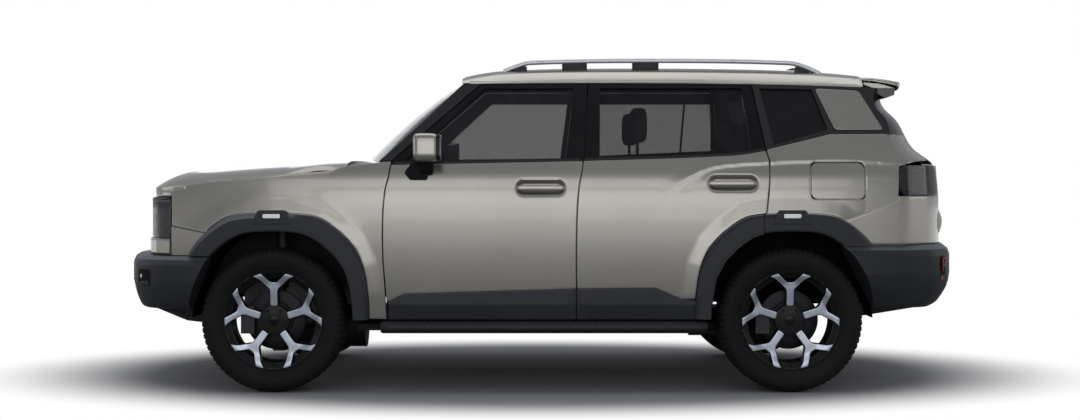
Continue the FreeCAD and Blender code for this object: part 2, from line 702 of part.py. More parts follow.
nose_plan_shares = [(0.0, 0.7836), (0.3125, 0.7790), (0.521, 0.7701), (0.625, 0.7609), (0.729, 0.7509),
                    (0.823, 0.7338), (0.868, 0.7160), (0.886, 0.7040)]
bumper_plan_shares = [(0.0, 0.8260), (0.3125, 0.8250), (0.521, 0.8070), (0.729, 0.7870), (0.833, 0.7740),
                      (0.917, 0.7510), (0.969, 0.7180), (0.992, 0.6880), (1.002, 0.6620), (1.004, 0.6180)]
NOSE_DEPTH = 70.0
BUMPER_DEPTH = 112.0
STATIONS = 18
lamp_z_shares = (0.4520, 0.5740)
chin_z_shares = (0.4030, 0.4518)
lamp_inner_share = 0.545
NOSE_ROUND = 12.0
GRILLE_BAR = 16.0
GRILLE_BARS = 5
GRILLE_SET_IN = 26.0
bumper_profile_shares = [(-1.0, 0.245), (-0.36, 0.245), (-0.09, 0.285), (0.0, 0.320), (0.0, 0.374),
                         (-0.13, 0.391),
                         (-0.36, 0.400), (-1.0, 0.401)]
skid_shares = [(0.802, 0.262), (0.790, 0.245), (0.702, 0.190), (0.655, 0.182), (0.655, 0.194), (0.698, 0.203),
               (0.775, 0.262)]
skid_width_share = 0.50


def stations_of(shares, side):
    """Places round a plan line with their outward directions; side is 1 at the nose, -1 at the tail."""
    curve = Part.BSplineCurve()
    curve.interpolate(plan_points(shares))
    span = curve.LastParameter - curve.FirstParameter
    stations = []
    for i in range(STATIONS + 1):
        t = curve.FirstParameter + span * i / STATIONS
        tangent = curve.tangent(t)[0]
        stations.append((curve.value(t), V(tangent.y, -tangent.x, 0) * side))
    return stations


def band(shares, profile, side):
    """Solid whose profile of (out, height) pairs is carried round a plan line."""
    wires = []
    for place, out in stations_of(shares, side):
        ring = [V(place.x + out.x * d, place.y + out.y * d, z) for d, z in profile]
        wires.append(Part.makePolygon(ring + [ring[0]]))
    return Part.makeLoft(wires, True, True)


def nose_band(z0, z1, low_out, high_out):
    return band(nose_plan_shares, [(-NOSE_DEPTH, z0), (low_out - NOSE_ROUND, z0), (low_out, z0 + NOSE_ROUND),
                                   (high_out, z1 - NOSE_ROUND), (high_out - NOSE_ROUND, z1),
                                   (-NOSE_DEPTH, z1)], 1)


def headlamp():
    z0, z1 = sz(lamp_z_shares[0]), sz(lamp_z_shares[1])
    y = HALF_BODY * lamp_inner_share
    return nose_band(z0, z1, 0, 0).common(box(0, LENGTH, y, HALF_WIDTH, z0 - OVERRUN, z1 + OVERRUN))


def grille():
    """Frame between the lamps with level bars standing before its back wall."""
    z0, z1 = sz(lamp_z_shares[0]), sz(lamp_z_shares[1])
    y = HALF_BODY * lamp_inner_share - SEAT_GAP
    whole = nose_band(z0, z1, 0, 0).common(box(0, LENGTH, -y, y, z0 - OVERRUN, z1 + OVERRUN))
    pitch = (z1 - z0 - GRILLE_BAR * 2) / GRILLE_BARS
    rooms = []
    for i in range(GRILLE_BARS):
        low = z0 + GRILLE_BAR * 1.5 + pitch * i
        shape = band(nose_plan_shares, [(-GRILLE_SET_IN, low), (OVERRUN, low),
                                        (OVERRUN, low + pitch - GRILLE_BAR),
                                        (-GRILLE_SET_IN, low + pitch - GRILLE_BAR)], 1)
        rooms.append(shape.common(box(0, LENGTH + OVERRUN, -y + GRILLE_BAR, y - GRILLE_BAR, z0, z1)))
    for room in rooms:
        whole = whole.cut(room)
    return largest(whole)


def chin_panel():
    """Painted upper part of the bumper under the lamps, back to the flares."""
    z0, z1 = sz(chin_z_shares[0]), sz(chin_z_shares[1])
    chin = nose_band(z0, z1, NOSE_ROUND, NOSE_ROUND)
    return largest(chin)


def side_chin():
    """Painted piece beside the chin, from the lamp's rear edge to the flare."""
    seam = gap_points(fender_front_shares)
    foot = V(seam[0].x, 0, sz(chin_z_shares[0]))
    front = V(seam[1].x, 0, sz(chin_z_shares[0]))
    outline = shrunk([seam[0], seam[1], front, foot], SEAT_GAP)
    return side_slab(0, FENDER_SHEET).common(across(outline, 0, HALF_WIDTH))


def front_bumper():
    profile = [(d * BUMPER_DEPTH, sz(z)) for d, z in bumper_profile_shares]
    y = HALF_BODY * skid_width_share
    skid = across(gap_points(skid_shares), -y, y)
    whole = fuse(band(bumper_plan_shares, profile, 1), skid)
    for flip in (1, -1):
        y0 = min(ARCH_INNER_Y * flip, HALF_WIDTH * flip + OVERRUN * flip)
        y1 = max(ARCH_INNER_Y * flip, HALF_WIDTH * flip + OVERRUN * flip)
        whole = whole.cut(wheel_room(FRONT_AXLE_X, y0, y1, 0))
    return largest(whole)


ARCH_INNER_Y = 470.0
REAR_ARCH_INNER_Y = 640.0

# Tail: tailgate, corner panels, lamps and bumper

tail_plan_shares = [(0.0, -0.8374), (0.3125, -0.8342), (0.469, -0.8274), (0.625, -0.8150), (0.729, -0.8007),
                    (0.833, -0.7769), (0.906, -0.7484), (0.946, -0.7280), (0.9635, -0.7078), (0.985, -0.6021)]
tail_centre_shares = [(0.4000, -0.8300), (0.4499, -0.8340), (0.5382, -0.8374), (0.6233, -0.8345),
                      (0.6775, -0.8240),
                      (0.7073, -0.7982), (0.7290, -0.7829), (0.8130, -0.7502), (0.8862, -0.7199),
                      (0.9400, -0.6980)]
tail_bumper_shares = [(0.0, -0.8473), (0.469, -0.8462), (0.625, -0.8374), (0.729, -0.8270), (0.833, -0.8107),
                      (0.917, -0.7822), (0.964, -0.7430), (0.990, -0.7075), (1.000, -0.6790),
                      (1.004, -0.6540), (1.005, -0.5980)]
tail_bumper_profile_shares = [(-1.0, 0.245), (-0.62, 0.257), (-0.13, 0.304), (0.0, 0.347), (0.0, 0.402),
                              (-0.11, 0.420), (-0.40, 0.4335), (-1.0, 0.4335)]
tail_skid_shares = [(-0.800, 0.262), (-0.779, 0.231), (-0.678, 0.206), (-0.645, 0.204), (-0.645, 0.216),
                    (-0.676, 0.220), (-0.770, 0.262)]
corner_z_shares = (0.4338, 0.5775)
tail_lamp_z_shares = (0.5777, 0.6700)
lamp_side_share = -0.7114
GATE_THICKNESS = 60.0
GATE_GAP = 10.0
gate_shares = [(0.635, 0.450), (0.635, 0.6735), (0.705, 0.690), (0.668, 0.900)]
gate_window_shares = [(0.610, 0.712), (0.565, 0.888)]
spoiler_shares = [(-0.6575, 0.9485), (-0.7200, 0.9370), (-0.7570, 0.9260), (-0.7560, 0.9060),
                  (-0.7280, 0.8960),
                  (-0.7060, 0.9080), (-0.6800, 0.9300), (-0.6575, 0.9380)]
spoiler_width_share = 0.715
gate_hinge_shares = (-0.6625, 0.9410)
GATE_PIN = 4.0
GATE_HINGE_Y = 430.0
GATE_HINGE_LENGTH = 60.0


def tail_x(y, z):
    """Place of the tail skin: its middle line by height, pulled forward as the plan line is."""
    plan = sorted((p[0], p[1]) for p in tail_plan_shares)
    drop = along(plan, abs(y) / HALF_BODY) - plan[0][1]
    return sx(along(tail_centre_shares, z / HEIGHT) + drop)


def tail_sheet(offset):
    rows = []
    reach = [p[0] for p in tail_plan_shares[:8]]
    for z_share, _ in tail_centre_shares:
        ys = [-s for s in reversed(reach[1:])] + reach
        rows.append([V(tail_x(s * HALF_BODY, sz(z_share)) + offset, s * HALF_BODY, sz(z_share)) for s in ys])
    return sheet_through(rows)


def lengthways(points, x0, x1):
    """Prism along the car with a back-view outline of (share of half width, height share) pairs."""
    half = [V(x0, p[0] * HALF_BODY, sz(p[1])) for p in points]
    ring = half + [V(p.x, -p.y, p.z) for p in reversed(half)]
    return face_of(ring).extrude(V(x1 - x0, 0, 0))


def tailgate():
    """Painted gate with its window opening, spoiler and hinge bores."""
    slab = tail_sheet(0).extrude(V(GATE_THICKNESS, 0, 0))
    gate = slab.common(lengthways(gate_shares, TAIL_X - OVERRUN, 0))
    gate = gate.cut(lengthways(gate_window_shares, TAIL_X - OVERRUN, 0))
    y = HALF_BODY * spoiler_width_share
    gate = fuse(gate, across(gap_points(spoiler_shares), -y, y))
    hinge = at(gate_hinge_shares)
    for side in (-1, 1):
        middle = side * GATE_HINGE_Y
        room = box(hinge.x - GATE_PIN * 2.5, 0, middle - GATE_HINGE_LENGTH / 2,
                   middle + GATE_HINGE_LENGTH / 2,
                   hinge.z - OVERRUN, hinge.z + OVERRUN)
        reach = GATE_HINGE_LENGTH
        gate = gate.cut(room).cut(rod_y(GATE_PIN + SEAT_GAP, hinge.x, hinge.z, middle - reach,
                                        middle + reach))
    return largest(gate)


def gate_hinges():
    """Arms with pins at the roof's end, one for each side."""
    hinge = at(gate_hinge_shares)
    arms = []
    for side in (-1, 1):
        middle = side * GATE_HINGE_Y
        half = GATE_HINGE_LENGTH / 2 - GATE_PIN
        arm = box(hinge.x - GATE_PIN, roof_end_x() + GATE_PIN, middle - half, middle + half,
                  hinge.z - GATE_PIN, hinge.z + GATE_PIN * 0.6)
        arms.append(fuse(arm, rod_y(GATE_PIN, hinge.x, hinge.z, middle - GATE_HINGE_LENGTH * 0.8,
                                    middle + GATE_HINGE_LENGTH * 0.8)))
    return arms


def gate_window():
    opening = [(p[0] - window_lap_share, p[1]) for p in gate_window_shares]
    slab = tail_sheet(GLASS_INSET).extrude(V(GLASS, 0, 0))
    return slab.common(lengthways(opening, TAIL_X - OVERRUN, 0))


window_lap_share = 0.0004


def corner_panel():
    """Painted rear corner between the gate, the tail lamp and the wheel arch, on the left."""
    z0, z1 = sz(corner_z_shares[0]), sz(corner_z_shares[1])
    shape = band(tail_plan_shares, [(-NOSE_DEPTH, z0), (-NOSE_ROUND, z0), (0, z0 + NOSE_DEPTH), (0, z1),
                                    (-NOSE_DEPTH, z1)], -1)
    seam = gap_points(quarter_rear_shares[:3])
    room = [V(seam[0].x, 0, z0 - OVERRUN), seam[0], seam[1], seam[2], V(seam[2].x, 0, z1 + OVERRUN),
            V(TAIL_X - OVERRUN, 0, z1 + OVERRUN), V(TAIL_X - OVERRUN, 0, z0 - OVERRUN)]
    y = HALF_BODY * gate_shares[0][0] + PANEL_GAP
    shape = shape.common(across(shrunk(room, SEAT_GAP - PANEL_GAP / 2), y, HALF_WIDTH))
    return largest(shape.cut(wheel_room(REAR_AXLE_X, 0, HALF_WIDTH, 0)))


def tail_lamp():
    z0, z1 = sz(tail_lamp_z_shares[0]), sz(tail_lamp_z_shares[1])
    shape = band(tail_plan_shares, [(-NOSE_DEPTH, z0), (0, z0), (-NOSE_ROUND / 2, (z0 + z1) / 2),
                                    (-NOSE_ROUND, z1),
                                    (-NOSE_DEPTH, z1)], -1)
    y = HALF_BODY * gate_shares[0][0] + PANEL_GAP
    side_x = sx(lamp_side_share) + PANEL_GAP / 2 - SEAT_GAP
    return largest(shape.common(box(TAIL_X, side_x, y, HALF_WIDTH, z0, z1)))


def rear_bumper():
    profile = [(d * BUMPER_DEPTH, sz(z)) for d, z in tail_bumper_profile_shares]
    y = HALF_BODY * skid_width_share
    whole = fuse(band(tail_bumper_shares, profile, -1), across(gap_points(tail_skid_shares), -y, y))
    for y0, y1 in ((REAR_ARCH_INNER_Y, HALF_WIDTH + OVERRUN), (-HALF_WIDTH - OVERRUN, -REAR_ARCH_INNER_Y)):
        whole = whole.cut(wheel_room(REAR_AXLE_X, y0, y1, 0))
    return largest(whole)


def roof_end_x():
    return sx(roof_end_share)


roof_end_share = -0.6540


# Wheels and tyres, built about the axle and moved into place

wheel_places = [("front_left", 1, 1), ("front_right", 1, -1), ("rear_left", -1, 1), ("rear_right", -1, -1)]
tyre_half_shares = [(0.0, 1.0), (0.62, 0.995), (0.82, 0.970), (0.96, 0.910), (1.0, 0.850), (0.98, 0.780),
                    (0.90, 0.720)]
spoke_fork_share = 0.72
spoke_spread_angle = 21.5
branch_width_share = 0.105
RIM_LIP = 9.0
HUB_DEPTH = 46.0


def revolved(pairs):
    """Ring about the Y axis from (radius, y) pairs."""
    face = face_of([V(radius, y, 0) for radius, y in pairs])
    return face.revolve(V(0, 0, 0), V(0, 1, 0), 360)


def tyre():
    half = TYRE_WIDTH / 2
    right = [(share * TYRE_RADIUS, s * half) for s, share in tyre_half_shares]
    bead = [(RIM_RADIUS + SEAT_GAP, RIM_WIDTH / 2 - RIM_LIP - SEAT_GAP)]
    loop = [(r, y) for r, y in right] + bead
    other = [(r, -y) for r, y in reversed(loop) if y > 0]
    return revolved(loop + other)


def spoke_plate(width, y0, y1):
    """One Y-shaped spoke standing up from the hub."""
    fork = RIM_RADIUS * spoke_fork_share
    reach = RIM_RADIUS - RIM_WALL / 2
    stem = box(-width / 2, width / 2, y0, y1, HUB_RADIUS * 0.6, fork)
    pieces = [stem]
    branch = RIM_RADIUS * branch_width_share
    for side in (-1, 1):
        angle = math.radians(spoke_spread_angle) * side
        tip = V(math.sin(angle) * reach, 0, math.cos(angle) * reach)
        start = V(side * (width - branch) / 2, 0, fork - width / 2)
        way = (tip - start).normalize()
        flank = V(way.z, 0, -way.x) * (branch / 2)
        ring = [start - flank, tip - flank + way * branch * 0.2, tip + flank + way * branch * 0.2,
                start + flank]
        pieces.append(across(ring, y0, y1))
    joined = fuse(*pieces)
    rim = rod_y(reach, 0, 0, y0 - SHEET, y1 + SHEET)
    return joined.common(rim)


def wheel():
    """Rim, five forked spokes, hub and brake disc in one solid, outer face towards +Y."""
    half = RIM_WIDTH / 2
    lip, barrel = RIM_RADIUS, RIM_RADIUS - RIM_WALL * 2.4
    section = [(lip, half), (lip, half - RIM_LIP), (lip - RIM_WALL, half - RIM_LIP * 1.6),
               (barrel, half - RIM_LIP * 4), (barrel, -half + RIM_LIP * 2), (lip - RIM_WALL, -half + RIM_LIP),
               (lip, -half + RIM_LIP * 0.8), (lip, -half), (lip - RIM_WALL * 1.4, -half),
               (barrel - RIM_WALL, -half + RIM_LIP * 2), (barrel - RIM_WALL, half - RIM_LIP * 4),
               (lip - RIM_WALL * 1.6, half - RIM_LIP)]
    rim = revolved(section)
    face = half - RIM_LIP
    spokes = []
    for i in range(SPOKES):
        spoke = spoke_plate(SPOKE_STEM, face - SPOKE_DEPTH, face - RIM_LIP)
        spoke.rotate(V(0, 0, 0), V(0, 1, 0), 360.0 * i / SPOKES)
        spokes.append(spoke)
    hub = rod_y(HUB_RADIUS, 0, 0, face - HUB_DEPTH, face - RIM_LIP)
    disc_y = face - DISC_INSET
    disc = rod_y(DISC_RADIUS, 0, 0, disc_y - DISC_THICKNESS, disc_y)
    hat = rod_y(HUB_RADIUS, 0, 0, disc_y - DISC_THICKNESS, face - HUB_DEPTH)
    body = fuse(rim, hub, hat, disc, *spokes)
    return largest(body.cut(rod_y(HUB_BORE + SEAT_GAP, 0, 0, -half, face - RIM_LIP * 2)))


def placed(shape, end, side):
    """A wheel part at an axle end: end is 1 in front, -1 behind; side is 1 on the left."""
    moved = shape.copy() if side > 0 else mirrored(shape)
    moved.translate(V(FRONT_AXLE_X if end > 0 else REAR_AXLE_X, side * WHEEL_Y, AXLE_Z))
    return moved


# Knuckles and suspension

KINGPIN_INSET = 78.0
BALL_PIN = 10.0
BALL_BOSS = 20.0
BALL_LOW_Z = 236.0
BALL_HIGH_Z = 545.0
KNUCKLE_DEPTH = 34.0
CALIPER_GAP = 3.0
CALIPER_WALL = 22.0
CALIPER_REACH = 172.0
CALIPER_HEIGHT = 150.0
CALIPER_LENGTH = 62.0
ARM_THICKNESS = 26.0
ARM_HALF = 30.0
STRUT_Y = 600.0
STRUT_RADIUS = 33.0
SUBFRAME_HALF = 330.0
SUBFRAME_REACH = 130.0
SUBFRAME_Z = 232.0
SUBFRAME_HEIGHT = 60.0
LINK = 3.0


def caliper(disc_y):
    """Caliper straddling the disc ahead of the axle."""
    z = CALIPER_HEIGHT / 2
    near = CALIPER_REACH - CALIPER_LENGTH
    block = box(near, CALIPER_REACH + CALIPER_GAP * 4, disc_y - DISC_THICKNESS - CALIPER_GAP - CALIPER_WALL,
                disc_y + CALIPER_GAP + CALIPER_WALL, -z, z)
    room = rod_y(DISC_RADIUS + CALIPER_GAP, 0, 0, disc_y - DISC_THICKNESS - CALIPER_GAP, disc_y + CALIPER_GAP)
    limit = rod_y(RIM_RADIUS - RIM_WALL * 4.2, 0, 0, -TYRE_WIDTH, TYRE_WIDTH)
    return block.cut(room).common(limit)


def knuckle():
    """Upright, stub axle and caliper about the wheel's centre, without the kingpin's bosses."""
    disc_y = RIM_WIDTH / 2 - RIM_LIP - DISC_INSET
    back = disc_y - DISC_THICKNESS - CALIPER_GAP - KNUCKLE_DEPTH
    front = back + KNUCKLE_DEPTH
    plate = rod_y(HUB_RADIUS, 0, 0, back, front)
    stub = rod_y(HUB_BORE, 0, 0, back, RIM_WIDTH / 2 - RIM_LIP * 3.4)
    carrier = box(0, CALIPER_REACH, back, back + KNUCKLE_DEPTH * 0.7, -BALL_BOSS * 1.5, BALL_BOSS * 1.5)
    return fuse(plate, stub, carrier, caliper(disc_y)), back


def front_knuckle():
    body, back = knuckle()
    low = BALL_LOW_Z - AXLE_Z
    high = BALL_HIGH_Z - AXLE_Z
    y = -KINGPIN_INSET
    post = box(-BALL_BOSS, BALL_BOSS, y - BALL_BOSS, back + KNUCKLE_DEPTH / 2, low, high)
    post = post.cut(rod_z(BALL_PIN + SEAT_GAP, 0, y, low - BALL_BOSS, low + BALL_BOSS * 1.6))
    post = post.cut(rod_z(BALL_PIN + SEAT_GAP, 0, y, high - BALL_BOSS * 1.6, high + BALL_BOSS))
    return largest(fuse(body, post))


def front_suspension():
    """Subframe with lower arms, struts and upper arms that hold the kingpins."""
    x = FRONT_AXLE_X
    low_top = BALL_LOW_Z - LINK
    under_liner = wheel_room(x, -WIDTH, WIDTH, SEAT_GAP * 2 + LINER)
    beam = box(x - SUBFRAME_REACH, x + SUBFRAME_REACH, -SUBFRAME_HALF, SUBFRAME_HALF, SUBFRAME_Z,
               SUBFRAME_Z + SUBFRAME_HEIGHT)
    pieces = [beam]
    for side in (1, -1):
        kingpin = side * (WHEEL_Y - KINGPIN_INSET)
        arm = plan_prism([V(x - SUBFRAME_REACH, side * SUBFRAME_HALF, 0), V(x - ARM_HALF, kingpin, 0),
                          V(x + ARM_HALF, kingpin, 0), V(x + SUBFRAME_REACH, side * SUBFRAME_HALF, 0)],
                         low_top - ARM_THICKNESS, low_top)
        joint = box(x - SUBFRAME_REACH, x + SUBFRAME_REACH, min(side * SUBFRAME_HALF,
                                                                side * SUBFRAME_HALF * 0.8),
                    max(side * SUBFRAME_HALF, side * SUBFRAME_HALF * 0.8),
                    low_top - ARM_THICKNESS, SUBFRAME_Z + LINK)
        pin_low = rod_z(BALL_PIN, x, kingpin, low_top - LINK, BALL_LOW_Z + BALL_BOSS * 1.4)
        strut = rod_z(STRUT_RADIUS, x, side * STRUT_Y, BALL_HIGH_Z + LINK, HEIGHT).common(under_liner)
        upper = box(x - ARM_HALF * 0.8, x + ARM_HALF * 0.8, min(side * STRUT_Y,
                                                                kingpin + side * BALL_BOSS * 0.9),
                    max(side * STRUT_Y, kingpin + side * BALL_BOSS * 0.9), BALL_HIGH_Z + LINK,
                    BALL_HIGH_Z + LINK + ARM_THICKNESS)
        pin_high = rod_z(BALL_PIN, x, kingpin, BALL_HIGH_Z - BALL_BOSS * 1.4, BALL_HIGH_Z + LINK * 2)
        post = rod_z(STRUT_RADIUS * 0.6, x, side * STRUT_Y, low_top - LINK, BALL_HIGH_Z + LINK * 2)
        pieces += [arm, joint, pin_low, strut, upper, pin_high, post]
    return fuse(*pieces)


REAR_BEAM_RADIUS = 38.0
REAR_LINK_RADIUS = 20.0
REAR_LINK_LENGTH = 520.0
REAR_LINK_Y = 560.0


def rear_suspension():
    """Beam between the rear hubs with trailing links and struts."""
    x, z = REAR_AXLE_X, AXLE_Z
    hub_plate, back = knuckle()
    inner = WHEEL_Y + back
    pieces = [rod_y(REAR_BEAM_RADIUS, x, z, -inner - LINK, inner + LINK),
              rod_y(DIFF_RADIUS, x, DIFF_Z, -DIFF_HALF, DIFF_HALF)]
    pieces += [placed(hub_plate, -1, 1), placed(hub_plate, -1, -1)]
    for side in (1, -1):
        y = side * REAR_LINK_Y
        link_z = FLOOR_Z - REAR_LINK_RADIUS - LINK
        pieces.append(rod_between(REAR_LINK_RADIUS, V(x, y, link_z), V(x + REAR_LINK_LENGTH, y, link_z)))
        pieces.append(rod_z(STRUT_RADIUS, x, y, link_z, LOAD_FLOOR_Z - FLOOR_THICKNESS - SEAT_GAP))
    return fuse(*pieces)


# Floor, engine bay, liners and underbody

FLOOR_HALF = SILL_Y0 - SEAT_GAP
floor_end_share = -0.760
FIREWALL_X_SHARE = 0.345
BAY_WALL = 10.0
BAY_HALF = 455.0
BAY_TOP_SHARE = 0.585
RADIATOR_X_SHARE = 0.712
RADIATOR_DEPTH = 40.0
RADIATOR_Z = 500.0
LOAD_FLOOR_Z = 640.0
load_step_share = -0.458
LINER = 5.0
ENGINE_LENGTH = 560.0
ENGINE_HALF = 270.0
ENGINE_LOW = 380.0
ENGINE_TOP = 1010.0
ENGINE_MOUNT = 50.0
GEARBOX_RADIUS = 130.0
SHAFT_RADIUS = 34.0
DIFF_RADIUS = 85.0
DIFF_HALF = 90.0
DIFF_Z = 330.0
COWL_TOP = 1178.0


def floor_pan():
    """Floor between the sills with the tunnel, the load floor and the rear cross wall."""
    x0, x1 = sx(floor_end_share), sx(FIREWALL_X_SHARE) - SEAT_GAP
    top = FLOOR_Z + FLOOR_THICKNESS
    arch_x = REAR_AXLE_X + ARCH_ROOM
    step_x = sx(load_step_share)
    half = REAR_ARCH_INNER_Y - LINER * 2
    front = fuse(box(arch_x, x1, -FLOOR_HALF, FLOOR_HALF, FLOOR_Z, top),
                 box(step_x, arch_x, -half, half, FLOOR_Z, top))
    step = box(step_x, step_x + FLOOR_THICKNESS, -half, half, FLOOR_Z, LOAD_FLOOR_Z)
    load = box(x0, step_x + FLOOR_THICKNESS, -half, half, LOAD_FLOOR_Z - FLOOR_THICKNESS, LOAD_FLOOR_Z)
    tail = box(x0, x0 + FLOOR_THICKNESS, -REAR_ARCH_INNER_Y, REAR_ARCH_INNER_Y,
               LOAD_FLOOR_Z - FLOOR_THICKNESS,
               sz(corner_z_shares[0]))
    return fuse(front, step, load, tail)


def engine_bay():
    """Firewall, inner wings, radiator wall and cowl, with the hood's hinge brackets."""
    fire_x = sx(FIREWALL_X_SHARE)
    wall = box(fire_x, fire_x + BAY_WALL, -FLOOR_HALF, FLOOR_HALF, FLOOR_Z, COWL_TOP)
    bay_top = sz(BAY_TOP_SHARE)
    radiator_x = sx(RADIATOR_X_SHARE)
    radiator = box(radiator_x, radiator_x + RADIATOR_DEPTH, -BAY_HALF, BAY_HALF, RADIATOR_Z,
                   sz(lamp_z_shares[1]) - NOSE_DEPTH)
    pieces = [wall, radiator]
    for side in (1, -1):
        y0 = min(side * BAY_HALF, side * (BAY_HALF - BAY_WALL))
        pieces.append(box(fire_x, radiator_x + RADIATOR_DEPTH, y0, y0 + BAY_WALL, RADIATOR_Z + NOSE_DEPTH,
                          bay_top))
        hinge_y = side * HOOD_HINGE_Y
        out = hinge_y + side * HOOD_ARM * 2.2
        y0, y1 = sorted((out, out + side * HOOD_ARM))
        bracket = box(HOOD_HINGE_X - HOOD_ARM * 1.6, HOOD_HINGE_X + HOOD_ARM * 1.2, y0, y1,
                      COWL_TOP - HOOD_ARM * 2, HOOD_HINGE_Z + HOOD_ARM)
        y0, y1 = sorted((hinge_y - side * HOOD_ARM, out + side * HOOD_ARM / 2))
        pin = rod_y(HOOD_PIN, HOOD_HINGE_X, HOOD_HINGE_Z, y0, y1)
        pieces += [bracket, pin]
    shelf = box(sx(cowl_share), HOOD_HINGE_X + HOOD_ARM * 1.6, -HOOD_HINGE_Y - HOOD_ARM * 4,
                HOOD_HINGE_Y + HOOD_ARM * 4, COWL_TOP - BAY_WALL * 3, COWL_TOP)
    rail = [V(fire_x, 0, WING_RAIL_Z), V(sx(wing_rail_share), 0, WING_RAIL_Z - WING_RAIL_FALL),
            V(sx(wing_rail_share), 0, WING_RAIL_Z - WING_RAIL_FALL - WING_RAIL),
            V(fire_x, 0, WING_RAIL_Z - WING_RAIL)]
    left_rail = across(rail, FLOOR_HALF - WING_RAIL, WIDTH).cut(
        side_slab(-WIDTH, WIDTH + FENDER_SHEET + SEAT_GAP))
    beams = box(radiator_x, NOSE_X, -BUMPER_BEAM_HALF, BUMPER_BEAM_HALF, BUMPER_BEAM_Z,
                BUMPER_BEAM_Z + WING_RAIL)
    behind_bumper = -BUMPER_DEPTH - SEAT_GAP
    beams = beams.cut(band(bumper_plan_shares, [(behind_bumper, 0), (OVERRUN, 0), (OVERRUN, HEIGHT),
                                                (behind_bumper, HEIGHT)], 1))
    carrier = box(radiator_x, NOSE_X, -CARRIER_HALF, CARRIER_HALF, CARRIER_LOW, CARRIER_TOP)
    behind_nose = -NOSE_DEPTH - SEAT_GAP
    carrier = carrier.cut(band(nose_plan_shares, [(behind_nose, 0), (OVERRUN, 0), (OVERRUN, HEIGHT),
                                                  (behind_nose, HEIGHT)], 1))
    bay = fuse(*pieces, shelf, largest(left_rail), mirrored(largest(left_rail)), largest(beams),
               largest(carrier))
    for side in (1, -1):
        y0, y1 = sorted((side * BAY_HALF, side * WIDTH))
        bay = bay.cut(wheel_room(FRONT_AXLE_X, y0, y1, 0))
    return largest(bay)


cowl_share = 0.3000
wing_rail_share = 0.690
WING_RAIL_Z = 1085.0
WING_RAIL_FALL = 55.0
WING_RAIL = 44.0
BUMPER_BEAM_HALF = 560.0
BUMPER_BEAM_Z = 580.0
CARRIER_HALF = 600.0
CARRIER_LOW = 790.0
CARRIER_TOP = 900.0


def wheel_liners():
    """Arch liners: a half-ring shell over each wheel, closed by an inner wall at the rear."""
    liners = []
    for axle_x, inner in ((FRONT_AXLE_X, BAY_HALF + SEAT_GAP), (REAR_AXLE_X, REAR_ARCH_INNER_Y)):
        setback = FLARE_LIP + LINER * 2 if axle_x > 0 else DOOR_THICKNESS + LINER * 2
        ring = wheel_room(axle_x, inner, HALF_BODY, SEAT_GAP).cut(
            wheel_room(axle_x, 0, WIDTH, SEAT_GAP + LINER))
        ring = ring.cut(side_slab(-OVERRUN, OVERRUN + setback))
        ring = ring.common(box(axle_x - LENGTH, axle_x + LENGTH, 0, HALF_WIDTH, LINER_LOW_Z, HEIGHT))
        if axle_x < 0:
            wall = wheel_room(axle_x, inner, inner + LINER, SEAT_GAP)
            above = box(axle_x - LENGTH, axle_x + LENGTH, 0, HALF_WIDTH, WALL_LOW_Z, HEIGHT)
            ring = fuse(ring, wall.common(above))
        liners.append(largest(ring))
    return [piece for shape in liners for piece in (shape, mirrored(shape))]


LINER_LOW_Z = 400.0
WALL_LOW_Z = 470.0


def engine_block():
    """The engine as one block, with a mount to the inner wing on each side."""
    x = FRONT_AXLE_X
    block = box(x - ENGINE_LENGTH / 2, x + ENGINE_LENGTH / 2, -ENGINE_HALF, ENGINE_HALF, ENGINE_LOW,
                ENGINE_TOP)
    reach = BAY_HALF - BAY_WALL - SEAT_GAP
    middle = (ENGINE_LOW + ENGINE_TOP) / 2
    return fuse(block, box(x - ENGINE_MOUNT, x + ENGINE_MOUNT, -reach, reach, middle, middle + ENGINE_MOUNT))


EXHAUST_Z = 262.0
EXHAUST_RADIUS = 26.0
MUFFLER_RADIUS = 65.0
MUFFLER_Y = 540.0
MUFFLER_Z = 500.0
HANGER_RADIUS = 10.0
muffler_x_shares = (-0.680, -0.770)
hanger_shares = (0.12, -0.14, -0.38)
TANK_DEPTH = 158.0
TANK_LEFT = 480.0
TANK_RIGHT = 330.0
TANK_ROUND = 28.0
exhaust_x_shares = (0.32, -0.545)
tank_x_shares = (-0.7330, -0.5440)
EXHAUST_Y = 300.0


def driveline():
    """Gearbox, propeller shaft, rear axle drive and half shafts."""
    front = FRONT_AXLE_X - ENGINE_LENGTH / 2 - SEAT_GAP
    mid = sx(0)
    gearbox = Part.makeCylinder(GEARBOX_RADIUS, front - sx(gearbox_end_share), V(front, 0, shaft_z()),
                                V(-1, 0, 0))
    gearbox = gearbox.common(box(mid, front, -GEARBOX_RADIUS, GEARBOX_RADIUS, 0,
                                 FLOOR_Z - LINK + GEARBOX_RADIUS))
    shaft = rod_between(SHAFT_RADIUS, V(sx(gearbox_end_share), 0, shaft_z()), V(REAR_AXLE_X, 0, shaft_z()))
    shaft = shaft.cut(rod_y(DIFF_RADIUS + SEAT_GAP, REAR_AXLE_X, DIFF_Z, -DIFF_HALF, DIFF_HALF))
    return fuse(gearbox, largest(shaft))


gearbox_end_share = 0.354


def shaft_z():
    return FLOOR_Z - SHAFT_RADIUS - LINK


